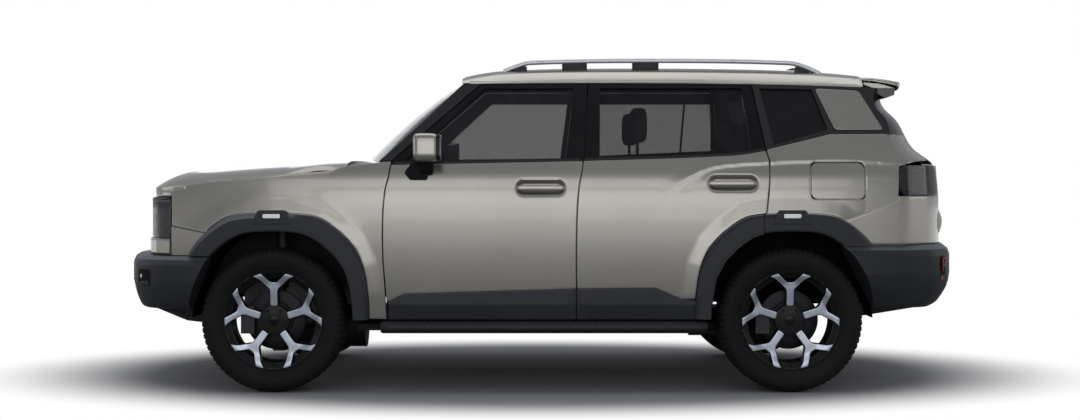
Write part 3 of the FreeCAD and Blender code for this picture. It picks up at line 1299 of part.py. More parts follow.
def exhaust():
    """Pipe under the floor, silencer behind the right rear wheel, and the hangers of both."""
    bend = V(sx(exhaust_x_shares[1]), -EXHAUST_Y, EXHAUST_Z)
    muffler = V(sx(muffler_x_shares[0]), -MUFFLER_Y, MUFFLER_Z)
    muffler_end = V(sx(muffler_x_shares[1]), -MUFFLER_Y, MUFFLER_Z)
    tip = V(muffler_end.x - MUFFLER_RADIUS, -MUFFLER_Y, MUFFLER_Z - MUFFLER_RADIUS * 1.6)
    pipe = rod_between(EXHAUST_RADIUS, V(sx(exhaust_x_shares[0]), -EXHAUST_Y, EXHAUST_Z), bend)
    rise = rod_between(EXHAUST_RADIUS, bend, muffler)
    tail = rod_between(EXHAUST_RADIUS, muffler_end, tip)
    pieces = [Part.makeSphere(EXHAUST_RADIUS, bend), rise, tail, rod_between(MUFFLER_RADIUS, muffler,
                                                                             muffler_end)]
    for share in hanger_shares:
        pieces.append(rod_z(HANGER_RADIUS, sx(share), -EXHAUST_Y, EXHAUST_Z, FLOOR_Z - SEAT_GAP))
    middle = (muffler + muffler_end) / 2
    under_floor = LOAD_FLOOR_Z - FLOOR_THICKNESS - SEAT_GAP
    pieces.append(rod_z(HANGER_RADIUS, middle.x, middle.y, MUFFLER_Z, under_floor))
    return fuse(pipe, *pieces)


def fuel_tank():
    """Tank hung under the load floor between the rear axle and the bumper."""
    x0, x1 = sx(tank_x_shares[0]), sx(tank_x_shares[1])
    top = LOAD_FLOOR_Z - FLOOR_THICKNESS - SEAT_GAP
    tank = box(x0, x1, -TANK_RIGHT, TANK_LEFT, top - TANK_DEPTH, top)
    return tank.makeFillet(TANK_ROUND, [edge for edge in tank.Edges if edge.BoundBox.ZMax < top - TANK_ROUND])


# Inside: dashboard, steering wheel and seats

DASH_TOP = 1120.0
DASH_LOW = 760.0
CONSOLE_HALF = 110.0
CONSOLE_TOP = 640.0
dash_x_shares = (0.175, 0.288)
console_x_shares = (-0.060, 0.215)
dash_half_share = 0.800
SEAT_Y = 370.0
SEAT_WIDTH = 500.0
SEAT_LENGTH = 520.0
CUSHION_Z = 560.0
CUSHION_HEIGHT = 150.0
SEAT_BACK = 120.0
BACK_TOP = 1290.0
HEADREST_TOP = 1570.0
HEADREST_WIDTH = 260.0
HEADREST_DEPTH = 100.0
HEADREST_HEIGHT = 200.0
front_seat_x_share = -0.135
bench_x_share = -0.375
BENCH_WIDTH = 1240.0
BENCH_TOP = 1230.0
BENCH_HEADREST_TOP = 1500.0
RAKE_ANGLE = 18.0
WHEEL_RING = 184.0
WHEEL_TUBE = 15.0
WHEEL_TILT = 24.0
steering_shares = (0.115, 0.545)
STEER_HUB = 62.0
COLUMN_RADIUS = 30.0


def dashboard():
    x0, x1 = sx(dash_x_shares[0]), sx(dash_x_shares[1])
    half = HALF_BODY * dash_half_share
    outline = [V(x1, 0, DASH_LOW), V(x1, 0, DASH_TOP + CUSHION_HEIGHT * 0.2), V((x0 + x1) / 2, 0, DASH_TOP),
               V(x0, 0, DASH_TOP - CUSHION_HEIGHT * 0.4), V(x0 + CUSHION_HEIGHT * 0.3, 0, DASH_LOW)]
    body = across(outline, -half, half)
    console = box(sx(console_x_shares[0]), sx(console_x_shares[1]), -CONSOLE_HALF, CONSOLE_HALF,
                  FLOOR_Z + FLOOR_THICKNESS, CONSOLE_TOP)
    stack = box(x0 + SEAT_BACK * 0.4, x1 - SEAT_BACK * 0.2, -CONSOLE_HALF, CONSOLE_HALF,
                FLOOR_Z + FLOOR_THICKNESS, DASH_LOW + SEAT_BACK)
    way = V(math.cos(math.radians(WHEEL_TILT)), 0, -math.sin(math.radians(WHEEL_TILT)))
    start = steering_centre() + way * (STEER_HUB * 0.9 + SEAT_GAP)
    column = rod_between(COLUMN_RADIUS, start, start + way * SEAT_BACK * 2)
    return largest(fuse(body, console, stack, column))


def steering_centre():
    return V(sx(steering_shares[0]), SEAT_Y, sz(steering_shares[1]))


def steering_wheel():
    ring = Part.makeTorus(WHEEL_RING, WHEEL_TUBE)
    hub = Part.makeCylinder(STEER_HUB, STEER_HUB * 0.9, V(0, 0, -STEER_HUB * 0.9))
    spokes = [box(-WHEEL_RING, WHEEL_RING, -WHEEL_TUBE, WHEEL_TUBE, -WHEEL_TUBE, WHEEL_TUBE / 2),
              box(-WHEEL_TUBE, WHEEL_TUBE, -WHEEL_RING, 0, -WHEEL_TUBE, WHEEL_TUBE / 2)]
    whole = fuse(ring, hub, *spokes)
    whole.rotate(V(0, 0, 0), V(0, 0, 1), -90)
    whole.rotate(V(0, 0, 0), V(0, 1, 0), -(90 - WHEEL_TILT))
    whole.translate(steering_centre())
    return whole


def seat(x, y, width, back_top, head_top, heads):
    """Seat on its base: cushion, raked back and headrests in one solid."""
    floor_top = FLOOR_Z + FLOOR_THICKNESS
    cushion = box(x, x + SEAT_LENGTH, y - width / 2, y + width / 2, CUSHION_Z - CUSHION_HEIGHT, CUSHION_Z)
    base = box(x + SEAT_BACK / 2, x + SEAT_LENGTH - SEAT_BACK, y - width * 0.35, y + width * 0.35, floor_top,
               CUSHION_Z - CUSHION_HEIGHT)
    lean = math.tan(math.radians(RAKE_ANGLE))
    rise = back_top - CUSHION_Z + CUSHION_HEIGHT / 2
    low = CUSHION_Z - CUSHION_HEIGHT / 2
    back = across([V(x, 0, low), V(x + SEAT_BACK, 0, low), V(x + SEAT_BACK - lean * rise, 0, back_top),
                   V(x - lean * rise, 0, back_top)], y - width / 2, y + width / 2)
    pieces = [cushion, base, back]
    for head_y in heads:
        hx = x - lean * rise
        pieces.append(box(hx - SEAT_BACK * 0.2, hx - SEAT_BACK * 0.2 + HEADREST_DEPTH,
                          head_y - HEADREST_WIDTH / 2,
                          head_y + HEADREST_WIDTH / 2, head_top - HEADREST_HEIGHT, head_top))
        pieces.append(box(hx + SEAT_BACK * 0.2, hx + SEAT_BACK * 0.4, head_y - HEADREST_WIDTH / 5,
                          head_y + HEADREST_WIDTH / 5, back_top - SEAT_BACK, head_top - HEADREST_HEIGHT / 2))
    return fuse(*pieces)


def front_seats():
    x = sx(front_seat_x_share)
    return [seat(x, y, SEAT_WIDTH, BACK_TOP, HEADREST_TOP, [y]) for y in (SEAT_Y, -SEAT_Y)]


def rear_bench():
    return seat(sx(bench_x_share), 0, BENCH_WIDTH, BENCH_TOP, BENCH_HEADREST_TOP, [SEAT_Y, -SEAT_Y])


# Roof rails, steps and mirrors

RAIL_Y = 634.0
RAIL_WIDTH = 34.0
RAIL_HEIGHT = 26.0
rail_shares = [(-0.5754, 0.9556), (-0.5473, 0.9756), (-0.5142, 0.9890), (-0.2562, 0.9959), (0.0043, 0.9895),
               (0.0363, 0.9756), (0.0562, 0.9640)]
rail_feet_shares = [(-0.5550, -0.5250), (-0.2530, -0.2000), (-0.1100, -0.0600), (0.0100, 0.0420)]
STEP_TOP = 390.0
STEP_BOTTOM = 323.0
STEP_INNER = 838.0
STEP_OUTER = 974.0
step_x_shares = (-0.3385, 0.2922)
STEP_BRACKET = 60.0
FIN_HEIGHT = 62.0
FIN_LENGTH = 150.0
FIN_WIDTH = 22.0
fin_x_share = -0.575


def roof_rail():
    """Left rail bar with its feet down to the roof."""
    wires = []
    for x_share, z_share in rail_shares:
        x, top = sx(x_share), sz(z_share)
        ring = [V(x, RAIL_Y - RAIL_WIDTH / 2, top - RAIL_HEIGHT),
                V(x, RAIL_Y + RAIL_WIDTH / 2, top - RAIL_HEIGHT),
                V(x, RAIL_Y + RAIL_WIDTH / 2, top - RAIL_HEIGHT / 3), V(x, RAIL_Y + RAIL_WIDTH / 4, top),
                V(x, RAIL_Y - RAIL_WIDTH / 4, top), V(x, RAIL_Y - RAIL_WIDTH / 2, top - RAIL_HEIGHT / 3)]
        wires.append(Part.makePolygon(ring + [ring[0]]))
    bar = Part.makeLoft(wires, True, True)
    feet = []
    for x0_share, x1_share in rail_feet_shares:
        middle = sz(along(rail_shares, (x0_share + x1_share) / 2))
        feet.append(box(sx(x0_share), sx(x1_share), RAIL_Y - RAIL_WIDTH / 3, RAIL_Y + RAIL_WIDTH / 3,
                        sz(roof_edge_shares[2][1]), middle - RAIL_HEIGHT / 2))
    whole = fuse(bar, *feet)
    return largest(whole.cut(roof_skin(SEAT_GAP).extrude(V(0, 0, -OVERRUN))))


def roof_fin():
    """Short aerial fin on the roof's tail end."""
    x = sx(fin_x_share)
    top = HEIGHT
    outline = [V(x - FIN_LENGTH / 3, 0, top), V(x - FIN_LENGTH / 2, 0, top - FIN_HEIGHT * 2),
               V(x + FIN_LENGTH / 2, 0, top - FIN_HEIGHT * 2), V(x - FIN_LENGTH / 4, 0, top)]
    fin = across(outline, -FIN_WIDTH / 2, FIN_WIDTH / 2)
    return fin.cut(roof_skin(-ROOF_THICKNESS / 2).extrude(V(0, 0, -OVERRUN)))


def side_step():
    """Left running board with brackets up to the sill."""
    x0, x1 = sx(step_x_shares[0]), sx(step_x_shares[1])
    chamfer = STEP_TOP - STEP_BOTTOM
    section = [V(x0, STEP_INNER, STEP_TOP), V(x0, STEP_OUTER - chamfer / 4, STEP_TOP),
               V(x0, STEP_OUTER, STEP_TOP - chamfer / 4), V(x0, STEP_OUTER, STEP_BOTTOM + chamfer / 3),
               V(x0, STEP_OUTER - chamfer / 2, STEP_BOTTOM), V(x0, STEP_INNER, STEP_BOTTOM)]
    board = face_of(section).extrude(V(x1 - x0, 0, 0))
    brackets = []
    for share in bracket_shares:
        x = sx(share)
        brackets.append(box(x, x + STEP_BRACKET, SILL_Y0 + SILL_DEPTH + SEAT_GAP, STEP_INNER,
                            STEP_BOTTOM + chamfer / 4, STEP_TOP - chamfer / 4))
    return fuse(board, *brackets)


bracket_shares = (-0.24, -0.02, 0.20)
MIRROR_ROUND = 26.0
mirror_shares = ((0.1737, 0.6780), (0.2270, 0.7620))
mirror_base_shares = [(0.2018, 0.6260), (0.2350, 0.6260), (0.2459, 0.6480), (0.2300, 0.6790),
                      (0.1960, 0.6790)]
MIRROR_IN = 938.0
MIRROR_OUT = 1092.0
MIRROR_ARM = 44.0


def door_mirror():
    """Left mirror: rounded housing on a wedge-shaped arm from the door's belt."""
    low, high = at(mirror_shares[0]), at(mirror_shares[1])
    housing = box(low.x, high.x, MIRROR_IN, MIRROR_OUT, low.z, high.z)
    housing = housing.makeFillet(MIRROR_ROUND, housing.Edges)
    inner = HALF_BODY * side_profile_shares[8][1]
    arm = across(gap_points(mirror_base_shares), inner, MIRROR_IN + MIRROR_ARM)
    whole = fuse(housing, arm)
    return largest(whole.cut(side_slab(-SEAT_GAP, OVERRUN)))


def main():
    front_hinge = hinge_line(front_gap_shares)
    rear_hinge = hinge_line(middle_gap_shares)
    front_x = (gap_points(front_gap_shares)[-1].x - PANEL_GAP,
               gap_points(middle_gap_shares)[-1].x + PANEL_GAP)
    arch_foot = arch_line(REAR_AXLE_X, arch_inner_shares, ARCH_LAP)[0].x
    rear_x = (gap_points(middle_gap_shares)[-1].x - PANEL_GAP, arch_foot + PANEL_GAP)
    front_strip = cladding(cladding_front_shares, front_x[0], front_x[1], PANEL_GAP)
    rear_strip = cladding(cladding_rear_shares, rear_x[0], rear_x[1], PANEL_GAP)
    front_door = door_shell(front_door_outline(), front_window_shares, front_handle_share, front_hinge,
                            [front_strip])
    gap = gap_points(rear_gap_shares)
    door_side = [gap[-2], gap[-1], V(gap[-1].x, 0, DOOR_BOTTOM), V(0, 0, DOOR_BOTTOM), V(0, 0, gap[-2].z)]
    behind_door = across(shrunk(door_side, -PANEL_GAP / 2), 0, HALF_WIDTH + OVERRUN)
    on_door = across(shrunk(door_side, PANEL_GAP / 2), 0, HALF_WIDTH + OVERRUN)
    rear_flare = flare(REAR_AXLE_X, -SEAT_GAP).cut(behind_door)
    door_flare = flare(REAR_AXLE_X, SHEET / 2).common(on_door)
    rear_door = door_shell(rear_door_outline(), rear_window_shares, rear_handle_share, rear_hinge,
                           [rear_strip, door_flare])
    save("front_door_left", front_door)
    save("front_door_right", mirrored(front_door))
    save("rear_door_left", rear_door)
    save("rear_door_right", mirrored(rear_door))
    for name, window in (("front", front_window_shares), ("rear", rear_window_shares)):
        pane = window_pane(window)
        save(name + "_door_glass_left", pane)
        save(name + "_door_glass_right", mirrored(pane))
    mirror = door_mirror()
    save("door_mirror_left", mirror)
    save("door_mirror_right", mirrored(mirror))
    side = body_side()
    save("body_sides", with_flap_recess(side), mirrored(side))
    save("fuel_flap", fuel_flap())
    save("roof_panel", fuse(roof_panel(), roof_fin(), *gate_hinges()))
    quarter_pane = window_pane(quarter_window_shares)
    save("fixed_glass", windscreen_sheet(GLASS), quarter_pane, mirrored(quarter_pane))
    front_flare = flare(FRONT_AXLE_X, -SEAT_GAP)
    save("arch_flares", front_flare, mirrored(front_flare), rear_flare, mirrored(rear_flare))
    wing = fender()
    save("fenders", wing, mirrored(wing))
    save("hood", hood())
    lamp = headlamp()
    save("headlamps", lamp, mirrored(lamp))
    save("grille", grille())
    save("chin_panel", chin_panel(), side_chin(), mirrored(side_chin()))
    save("front_bumper", front_bumper())
    save("tailgate", tailgate())
    save("tailgate_glass", gate_window())
    corner = corner_panel()
    save("rear_corner_panels", corner, mirrored(corner))
    rear_lamp = tail_lamp()
    save("tail_lamps", rear_lamp, mirrored(rear_lamp))
    save("rear_bumper", rear_bumper())
    rail = roof_rail()
    save("roof_rails", rail, mirrored(rail))
    step = side_step()
    save("side_steps", step, mirrored(step))
    save("floor_pan", floor_pan())
    save("engine_bay", engine_bay())
    save("engine_block", engine_block())
    save("wheel_liners", *wheel_liners())
    save("driveline", driveline())
    save("exhaust", exhaust())
    save("fuel_tank", fuel_tank())
    save("front_suspension", front_suspension())
    save("rear_suspension", rear_suspension())
    save("dashboard", dashboard())
    save("steering_wheel", steering_wheel())
    save("front_seats", *front_seats())
    save("rear_bench", rear_bench())
    upright = front_knuckle()
    save("knuckle_left", placed(upright, 1, 1))
    save("knuckle_right", placed(upright, 1, -1))
    tread, rim = tyre(), wheel()
    for name, end, side_sign in wheel_places:
        save("tyre_" + name, placed(tread, end, side_sign))
        save("wheel_" + name, placed(rim, end, side_sign))


main()
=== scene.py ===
import json
import math

import bpy
import numpy as np
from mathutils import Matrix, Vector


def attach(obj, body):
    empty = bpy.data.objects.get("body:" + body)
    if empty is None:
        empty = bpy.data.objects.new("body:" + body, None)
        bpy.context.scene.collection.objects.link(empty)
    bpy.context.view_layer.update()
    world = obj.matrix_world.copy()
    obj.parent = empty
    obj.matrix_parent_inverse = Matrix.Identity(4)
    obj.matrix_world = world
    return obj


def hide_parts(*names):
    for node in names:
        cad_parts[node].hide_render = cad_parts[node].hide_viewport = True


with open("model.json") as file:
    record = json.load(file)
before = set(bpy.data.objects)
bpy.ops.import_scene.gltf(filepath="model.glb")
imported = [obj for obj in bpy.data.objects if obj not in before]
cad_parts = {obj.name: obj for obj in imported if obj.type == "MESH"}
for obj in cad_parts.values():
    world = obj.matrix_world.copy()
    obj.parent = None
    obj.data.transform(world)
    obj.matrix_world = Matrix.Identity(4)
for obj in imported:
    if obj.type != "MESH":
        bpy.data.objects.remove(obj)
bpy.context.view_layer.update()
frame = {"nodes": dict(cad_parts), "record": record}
record_slots = [material["slot"] for material in frame["record"]["materials"]]

# Sizes in millimetres, as the solids have them; meshes are written in metres.
# Side-view places are shares: X of the wheelbase from the middle between the axles, Z of the height.
TO_METRES = 0.001
HEIGHT = 1845.0
WHEELBASE = 2810.0
MID_X = 28.002
HALF_BODY = 960.0
HALF_WIDTH = 983.5
TYRE_RADIUS = 391.0
WHEEL_Y = 815.0
AXLE_Z = TYRE_RADIUS
FRONT_AXLE_X = MID_X + WHEELBASE / 2
REAR_AXLE_X = MID_X - WHEELBASE / 2
PANEL_GAP = 6.0
PROUD = 1.4
SHARP_DEGREES = 40.0
BEVEL_DEGREES = 35.0
ARCH_ROOM = 464.0

side_profile = [
    (0.170, 0.968), (0.217, 0.978), (0.300, 0.990), (0.410, 0.998), (0.520, 1.000), (0.590, 0.996),
    (0.640, 0.982), (0.684, 0.952), (0.725, 0.922), (0.800, 0.868), (0.870, 0.812), (0.916, 0.776),
    (0.945, 0.748)]
nose_taper = [(0.27, 0.0), (0.36, 0.004), (0.50, 0.026), (0.60, 0.058), (0.66, 0.086), (0.71, 0.118)]
tail_taper = [(0.47, 0.0), (0.56, 0.008), (0.64, 0.020), (0.70, 0.034), (0.76, 0.052), (0.82, 0.075)]
front_gap = [(0.2712, 0.6818), (0.2765, 0.6379), (0.2829, 0.5973), (0.2868, 0.5366), (0.2879, 0.4618),
             (0.2868, 0.3854), (0.2829, 0.3100), (0.2794, 0.2168)]
middle_gap = [(-0.1103, 0.9160), (-0.1053, 0.8076), (-0.1004, 0.6997), (-0.0975, 0.6618), (-0.0904, 0.6022),
              (-0.0865, 0.5127), (-0.0854, 0.3631), (-0.0879, 0.2168)]
rear_gap = [(-0.4317, 0.9160), (-0.4427, 0.8130), (-0.4534, 0.7144), (-0.4591, 0.6775), (-0.4559, 0.5875),
            (-0.4459, 0.4678)]
fender_top = [(0.7025, 0.5940), (0.5950, 0.6206), (0.4715, 0.6407), (0.3936, 0.6493), (0.3658, 0.6660),
              (0.2993, 0.6786)]
fender_front = [(0.6292, 0.4672), (0.7025, 0.4878)]
QUARTER_FOOT = (-0.6021, 0.5084)
arch_inner = [(1.125, 0.02), (1.105, 0.26), (1.045, 0.60), (0.925, 0.83), (0.74, 1.02), (0.56, 1.15),
              (0.35, 1.225), (0.0, 1.245)]
arch_outer = [(1.34, 0.02), (1.325, 0.36), (1.255, 0.76), (1.12, 1.04), (0.885, 1.275), (0.645, 1.43),
              (0.40, 1.475), (0.0, 1.485)]
cladding_front = [(0.2772, 0.2661), (0.2456, 0.2900), (-0.0854, 0.3051)]
cladding_rear = [(-0.0854, 0.3051), (-0.2374, 0.3073), (-0.2865, 0.2753), (-0.3196, 0.2726)]
belt_line = [(-0.4570, 0.7141), (-0.3900, 0.6990), (-0.1320, 0.6846), (0.0800, 0.6775), (0.2712, 0.6714)]
hood_centre = [(0.3388, 0.6900), (0.3591, 0.6883), (0.4879, 0.6764), (0.6064, 0.6645), (0.7139, 0.6450),
               (0.7552, 0.6114), (0.7712, 0.5827), (0.7783, 0.5528)]
hood_side = [(0.3388, 0.6560), (0.3936, 0.6493), (0.4715, 0.6407), (0.5950, 0.6206), (0.6982, 0.5951),
             (0.7480, 0.5500)]
hood_section = [(0.0, 0.0), (0.40, 0.04), (0.62, 0.10), (0.78, 0.24), (0.88, 0.46), (0.95, 0.72), (1.0, 1.0)]
hood_plan = [(0.0, 0.7760), (0.31, 0.7715), (0.52, 0.7625), (0.63, 0.7540), (0.73, 0.7430), (0.80, 0.7250),
             (0.845, 0.7000)]
roof_centre = [(-0.6719, 0.9485), (-0.5972, 0.9604), (-0.4979, 0.9696), (-0.3658, 0.9745), (-0.1968, 0.9762),
               (-0.0456, 0.9740), (0.0601, 0.9669), (0.0968, 0.9588), (0.1377, 0.9447)]
roof_edge = [(-0.7573, 0.8997), (-0.6683, 0.9062), (-0.4726, 0.9138), (-0.2335, 0.9182), (0.1270, 0.9176),
             (0.1573, 0.9149)]
roof_section = [(0.0, 0.0), (0.40, 0.03), (0.67, 0.09), (0.80, 0.16), (0.88, 0.28), (0.94, 0.50),
                (0.98, 0.78), (1.0, 1.0)]
nose_plan = [(0.0, 0.7836), (0.3125, 0.7790), (0.521, 0.7701), (0.625, 0.7609), (0.729, 0.7509),
             (0.823, 0.7338), (0.868, 0.7160), (0.886, 0.7040)]
bumper_plan = [(0.0, 0.8260), (0.3125, 0.8250), (0.521, 0.8070), (0.729, 0.7870), (0.833, 0.7740),
               (0.917, 0.7510), (0.969, 0.7180), (0.992, 0.6880), (1.002, 0.6620), (1.004, 0.6180)]
tail_plan = [(0.0, -0.8374), (0.3125, -0.8342), (0.469, -0.8274), (0.625, -0.8150), (0.729, -0.8007),
             (0.833, -0.7769), (0.906, -0.7484), (0.946, -0.7280), (0.9635, -0.7078), (0.985, -0.6021)]
tail_centre = [(0.4000, -0.8300), (0.4499, -0.8340), (0.5382, -0.8374), (0.6233, -0.8345), (0.6775, -0.8240),
               (0.7073, -0.7982), (0.7290, -0.7829), (0.8130, -0.7502), (0.8862, -0.7199), (0.9400, -0.6980)]
tail_bumper_plan = [(0.0, -0.8473), (0.469, -0.8462), (0.625, -0.8374), (0.729, -0.8270), (0.833, -0.8107),
                    (0.917, -0.7822), (0.964, -0.7430), (0.990, -0.7075), (1.000, -0.6790), (1.004, -0.6540),
                    (1.005, -0.5980)]
rail_line = [(-0.5754, 0.9556), (-0.5473, 0.9756), (-0.5142, 0.9890), (-0.2562, 0.9959), (0.0043, 0.9895),
             (0.0363, 0.9756), (0.0562, 0.9640)]
rail_feet = [(-0.5550, -0.5250), (-0.2530, -0.2000), (-0.1100, -0.0600), (0.0100, 0.0420)]
RAIL_Y = 634.0
mirror_foot = [(0.2018, 0.6260), (0.2350, 0.6260), (0.2459, 0.6480), (0.2300, 0.6790), (0.1960, 0.6790)]


# Places and smooth curves

def sx(share):
    return MID_X + share * WHEELBASE


def sz(share):
    return share * HEIGHT


def base_share(x):
    return (x - MID_X) / WHEELBASE


def at(places):
    """(X, Z) rows in millimetres from pairs of shares."""
    return np.array([(sx(a), sz(b)) for a, b in places])


def along(table, place):
    """Cubic curve through (place, value) pairs, level past its ends; slopes are the neighbours' chords."""
    xs, vs = np.array(table, float).T
    slopes = np.gradient(vs, xs) if len(xs) == 2 else np.concatenate((
        [(vs[1] - vs[0]) / (xs[1] - xs[0])], (vs[2:] - vs[:-2]) / (xs[2:] - xs[:-2]),
        [(vs[-1] - vs[-2]) / (xs[-1] - xs[-2])]))
    place = np.clip(place, xs[0], xs[-1])
    k = np.clip(np.searchsorted(xs, place, side="right") - 1, 0, len(xs) - 2)
    span = xs[k + 1] - xs[k]
    t = (place - xs[k]) / span
    return (vs[k] * (1 + 2 * t) * (1 - t) ** 2 + slopes[k] * span * t * (1 - t) ** 2
            + vs[k + 1] * t * t * (3 - 2 * t) + slopes[k + 1] * span * t * t * (t - 1))


def ease(low, high, value):
    """0 below low, 1 above high, smooth between."""
    t = np.clip((value - low) / (high - low), 0, 1)
    return t * t * (3 - 2 * t)


def side_y(x, z):
    """Half width of the painted side: the height profile less what the plan takes off at nose and tail."""
    share = base_share(x)
    width = along(side_profile, z / HEIGHT) - along(nose_taper, share) - along(tail_taper, -share)
    return HALF_BODY * width


def hood_z(x, y):
    """Hood height: middle line less the drop to the side seam, by the section curve."""
    share = base_share(x)
    half = side_y(x, sz(along(hood_side, share))) - PANEL_GAP / 2
    top, edge = sz(along(hood_centre, share)), sz(along(hood_side, share))
    return top - (top - edge) * along(hood_section, np.minimum(np.abs(y) / half, 1.0))


def roof_half(x):
    """Half width of the painted side at the height of the roof's edge."""
    return side_y(x, sz(along(roof_edge, base_share(x))))


def roof_z(x, y):
    """Roof height: a low crown that turns down over its last quarter."""
    share = base_share(x)
    top, edge = sz(along(roof_centre, share)), sz(along(roof_edge, share))
    return top - (top - edge) * along(roof_section, np.minimum(np.abs(y) / roof_half(x), 1.0))


def tail_x(y, z):
    """Tail skin: its middle line by height, pulled forward as the plan line is."""
    drop = along(tail_plan, np.abs(y) / HALF_BODY) - tail_plan[0][1]
    return sx(along(tail_centre, z / HEIGHT) + drop)


def arch_points(axle_x, shares):
    """Wheel arch line from its front foot over the top to its rear foot."""
    half = np.array(shares)
    line = np.vstack((half, half[-2::-1] * (-1, 1)))
    return np.column_stack((axle_x + line[:, 0] * TYRE_RADIUS, AXLE_Z + line[:, 1] * TYRE_RADIUS))


def spread(points, count, smooth=True):
    """Points spread evenly along a line, on a smooth curve through its corners or on its straight runs."""
    points = np.asarray(points, float)
    length = np.concatenate(([0], np.cumsum(np.linalg.norm(np.diff(points, axis=0), axis=1))))
    if smooth and len(points) > 2:
        fine = np.linspace(0, length[-1], 400)
        points = np.column_stack([along(list(zip(length, column)), fine) for column in points.T])
        length = np.concatenate(([0], np.cumsum(np.linalg.norm(np.diff(points, axis=0), axis=1))))
    places = np.linspace(0, length[-1], count)
    return np.column_stack([np.interp(places, length, column) for column in points.T])


# Meshes

def grid_quads(rows, columns, closed_rows=False, closed_columns=False):
    """Faces of a grid of rows by columns of points, joined round where closed."""
    i = np.arange(rows if closed_rows else rows - 1)
    j = np.arange(columns if closed_columns else columns - 1)
    i, j = np.meshgrid(i, j, indexing="ij")
    a = i * columns + j
    b = i * columns + (j + 1) % columns
    c = ((i + 1) % rows) * columns + (j + 1) % columns
    d = ((i + 1) % rows) * columns + j
    return np.stack((a, b, c, d), axis=-1).reshape(-1, 4)


def put(name, points, faces, body, slot, material, both=False, replaces=(), flip=False):
    """One piece from points in millimetres; both adds its mirror image on the other side."""
    points = np.asarray(points, float).reshape(-1, 3)
    made = []
    for side in ((1, -1) if both else (1,)):
        label, rider = name, body
        if both:
            word = "left" if side > 0 else "right"
            label, rider = f"{name}_{word}", body.replace("SIDE", word)
        mesh = bpy.data.meshes.new(label)
        order = [f[::-1] for f in faces] if (side < 0) != flip else faces
        mesh.from_pydata((points * (1, side, 1) * TO_METRES).tolist(), [], [list(map(int, f)) for f in order])
        mesh.update()
        mesh.shade_smooth()
        mesh.set_sharp_from_angle(angle=math.radians(SHARP_DEGREES))
        mesh.materials.append(material)
        piece = bpy.data.objects.new(label, mesh)
        bpy.context.scene.collection.objects.link(piece)
        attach(piece, rider)
        slot in record_slots
        nodes = [n.replace("SIDE", "left" if side > 0 else "right") for n in replaces]
        if nodes and (side > 0 or any("SIDE" in n for n in replaces)):
            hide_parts(*nodes)
        made.append(piece)
    return made


def join_parts(parts):
    """Several (points, faces) parts as one, their face numbers moved on."""
    points, faces, start = [], [], 0
    for part_points, part_faces in parts:
        part_points = np.asarray(part_points, float).reshape(-1, 3)
        points.append(part_points)
        faces += [[start + int(k) for k in face] for face in part_faces]
        start += len(part_points)
    return np.vstack(points), faces


def gather(name, parts, body, slot, material, **more):
    """One piece from several closed forms."""
    return put(name, *join_parts(parts), body, slot, material, **more)


def bevel(piece, width):
    """Rounded edges wherever faces meet at more than an angle."""
    modifier = piece.modifiers.new("edges", "BEVEL")
    modifier.width = width * TO_METRES
    modifier.segments = 2
    modifier.limit_method = "ANGLE"
    modifier.angle_limit = math.radians(BEVEL_DEGREES)


def ring_reach(points, ring):
    """Distance of each flat point from a closed outline, and the nearest place on it."""
    way = np.roll(ring, -1, 0) - ring
    share = ((points[:, None] - ring) * way).sum(-1) / np.maximum((way ** 2).sum(-1), 1e-9)
    near = ring + np.clip(share, 0, 1)[..., None] * way
    away = np.linalg.norm(points[:, None] - near, axis=-1)
    best = (np.arange(len(points)), away.argmin(1))
    return away[best], near[best]


def within(points, ring):
    """Even-odd rule: whether a level ray from each point crosses the outline an odd number of times."""
    x, z = points[:, :1], points[:, 1:]
    (x0, z0), (x1, z1) = ring.T, np.roll(ring, -1, 0).T
    rise = np.where(z1 == z0, 1e-9, z1 - z0)
    return (((z0 > z) != (z1 > z)) & (x < (x1 - x0) * (z - z0) / rise + x0)).sum(1) % 2 == 1


def trimmed_grid(outline, holes, spacing, inset):
    """Square grid cut to an outline and its holes: cells whose middle lies further inside than the inset
    stay, and their border points are drawn onto the line at that inset; gives points, faces and loops."""
    low, high = outline.min(0), outline.max(0)
    counts = np.maximum(np.ceil((high - low) / spacing).astype(int), 2)
    axes = [np.linspace(low[k], high[k], counts[k] + 1) for k in (0, 1)]
    points = np.stack(np.meshgrid(*axes, indexing="ij"), axis=-1).reshape(-1, 2)
    quads = grid_quads(counts[0] + 1, counts[1] + 1)

    def depth(places):
        reach, near = ring_reach(places, outline)
        sign = np.where(within(places, outline), 1.0, -1.0)
        for hole in holes:
            away, spot = ring_reach(places, hole)
            outside = np.where(within(places, hole), -1.0, 1.0)
            swap = away * outside < reach * sign
            reach, near, sign = (np.where(swap, away, reach), np.where(swap[:, None], spot, near),
                                 np.where(swap, outside, sign))
        return reach * sign, near, sign

    quads = quads[depth(points[quads].mean(1))[0] > inset]
    edges = np.concatenate([quads[:, [k, (k + 1) % 4]] for k in range(4)])
    key = np.sort(edges, axis=1) @ (len(points), 1)
    _, where, times = np.unique(key, return_index=True, return_counts=True)
    border = edges[where[times == 1]]
    rim = np.unique(border)
    _, near, sign = depth(points[rim])
    way = (points[rim] - near) * sign[:, None]
    points[rim] = near + way / np.maximum(np.linalg.norm(way, axis=1), 1e-6)[:, None] * inset
    used, quads_flat = np.unique(quads, return_inverse=True)
    number = np.full(len(points), -1)
    number[used] = np.arange(len(used))
    follow = {int(number[a]): int(number[b]) for a, b in border}
    loops = []
    while follow:
        start = next(iter(follow))
        loop, here = [], start
        while here in follow:
            loop.append(here)
            here = follow.pop(here)
        if len(loop) > 3:
            loops.append(np.array(loop))
    return points[used], quads_flat.reshape(-1, 4), loops


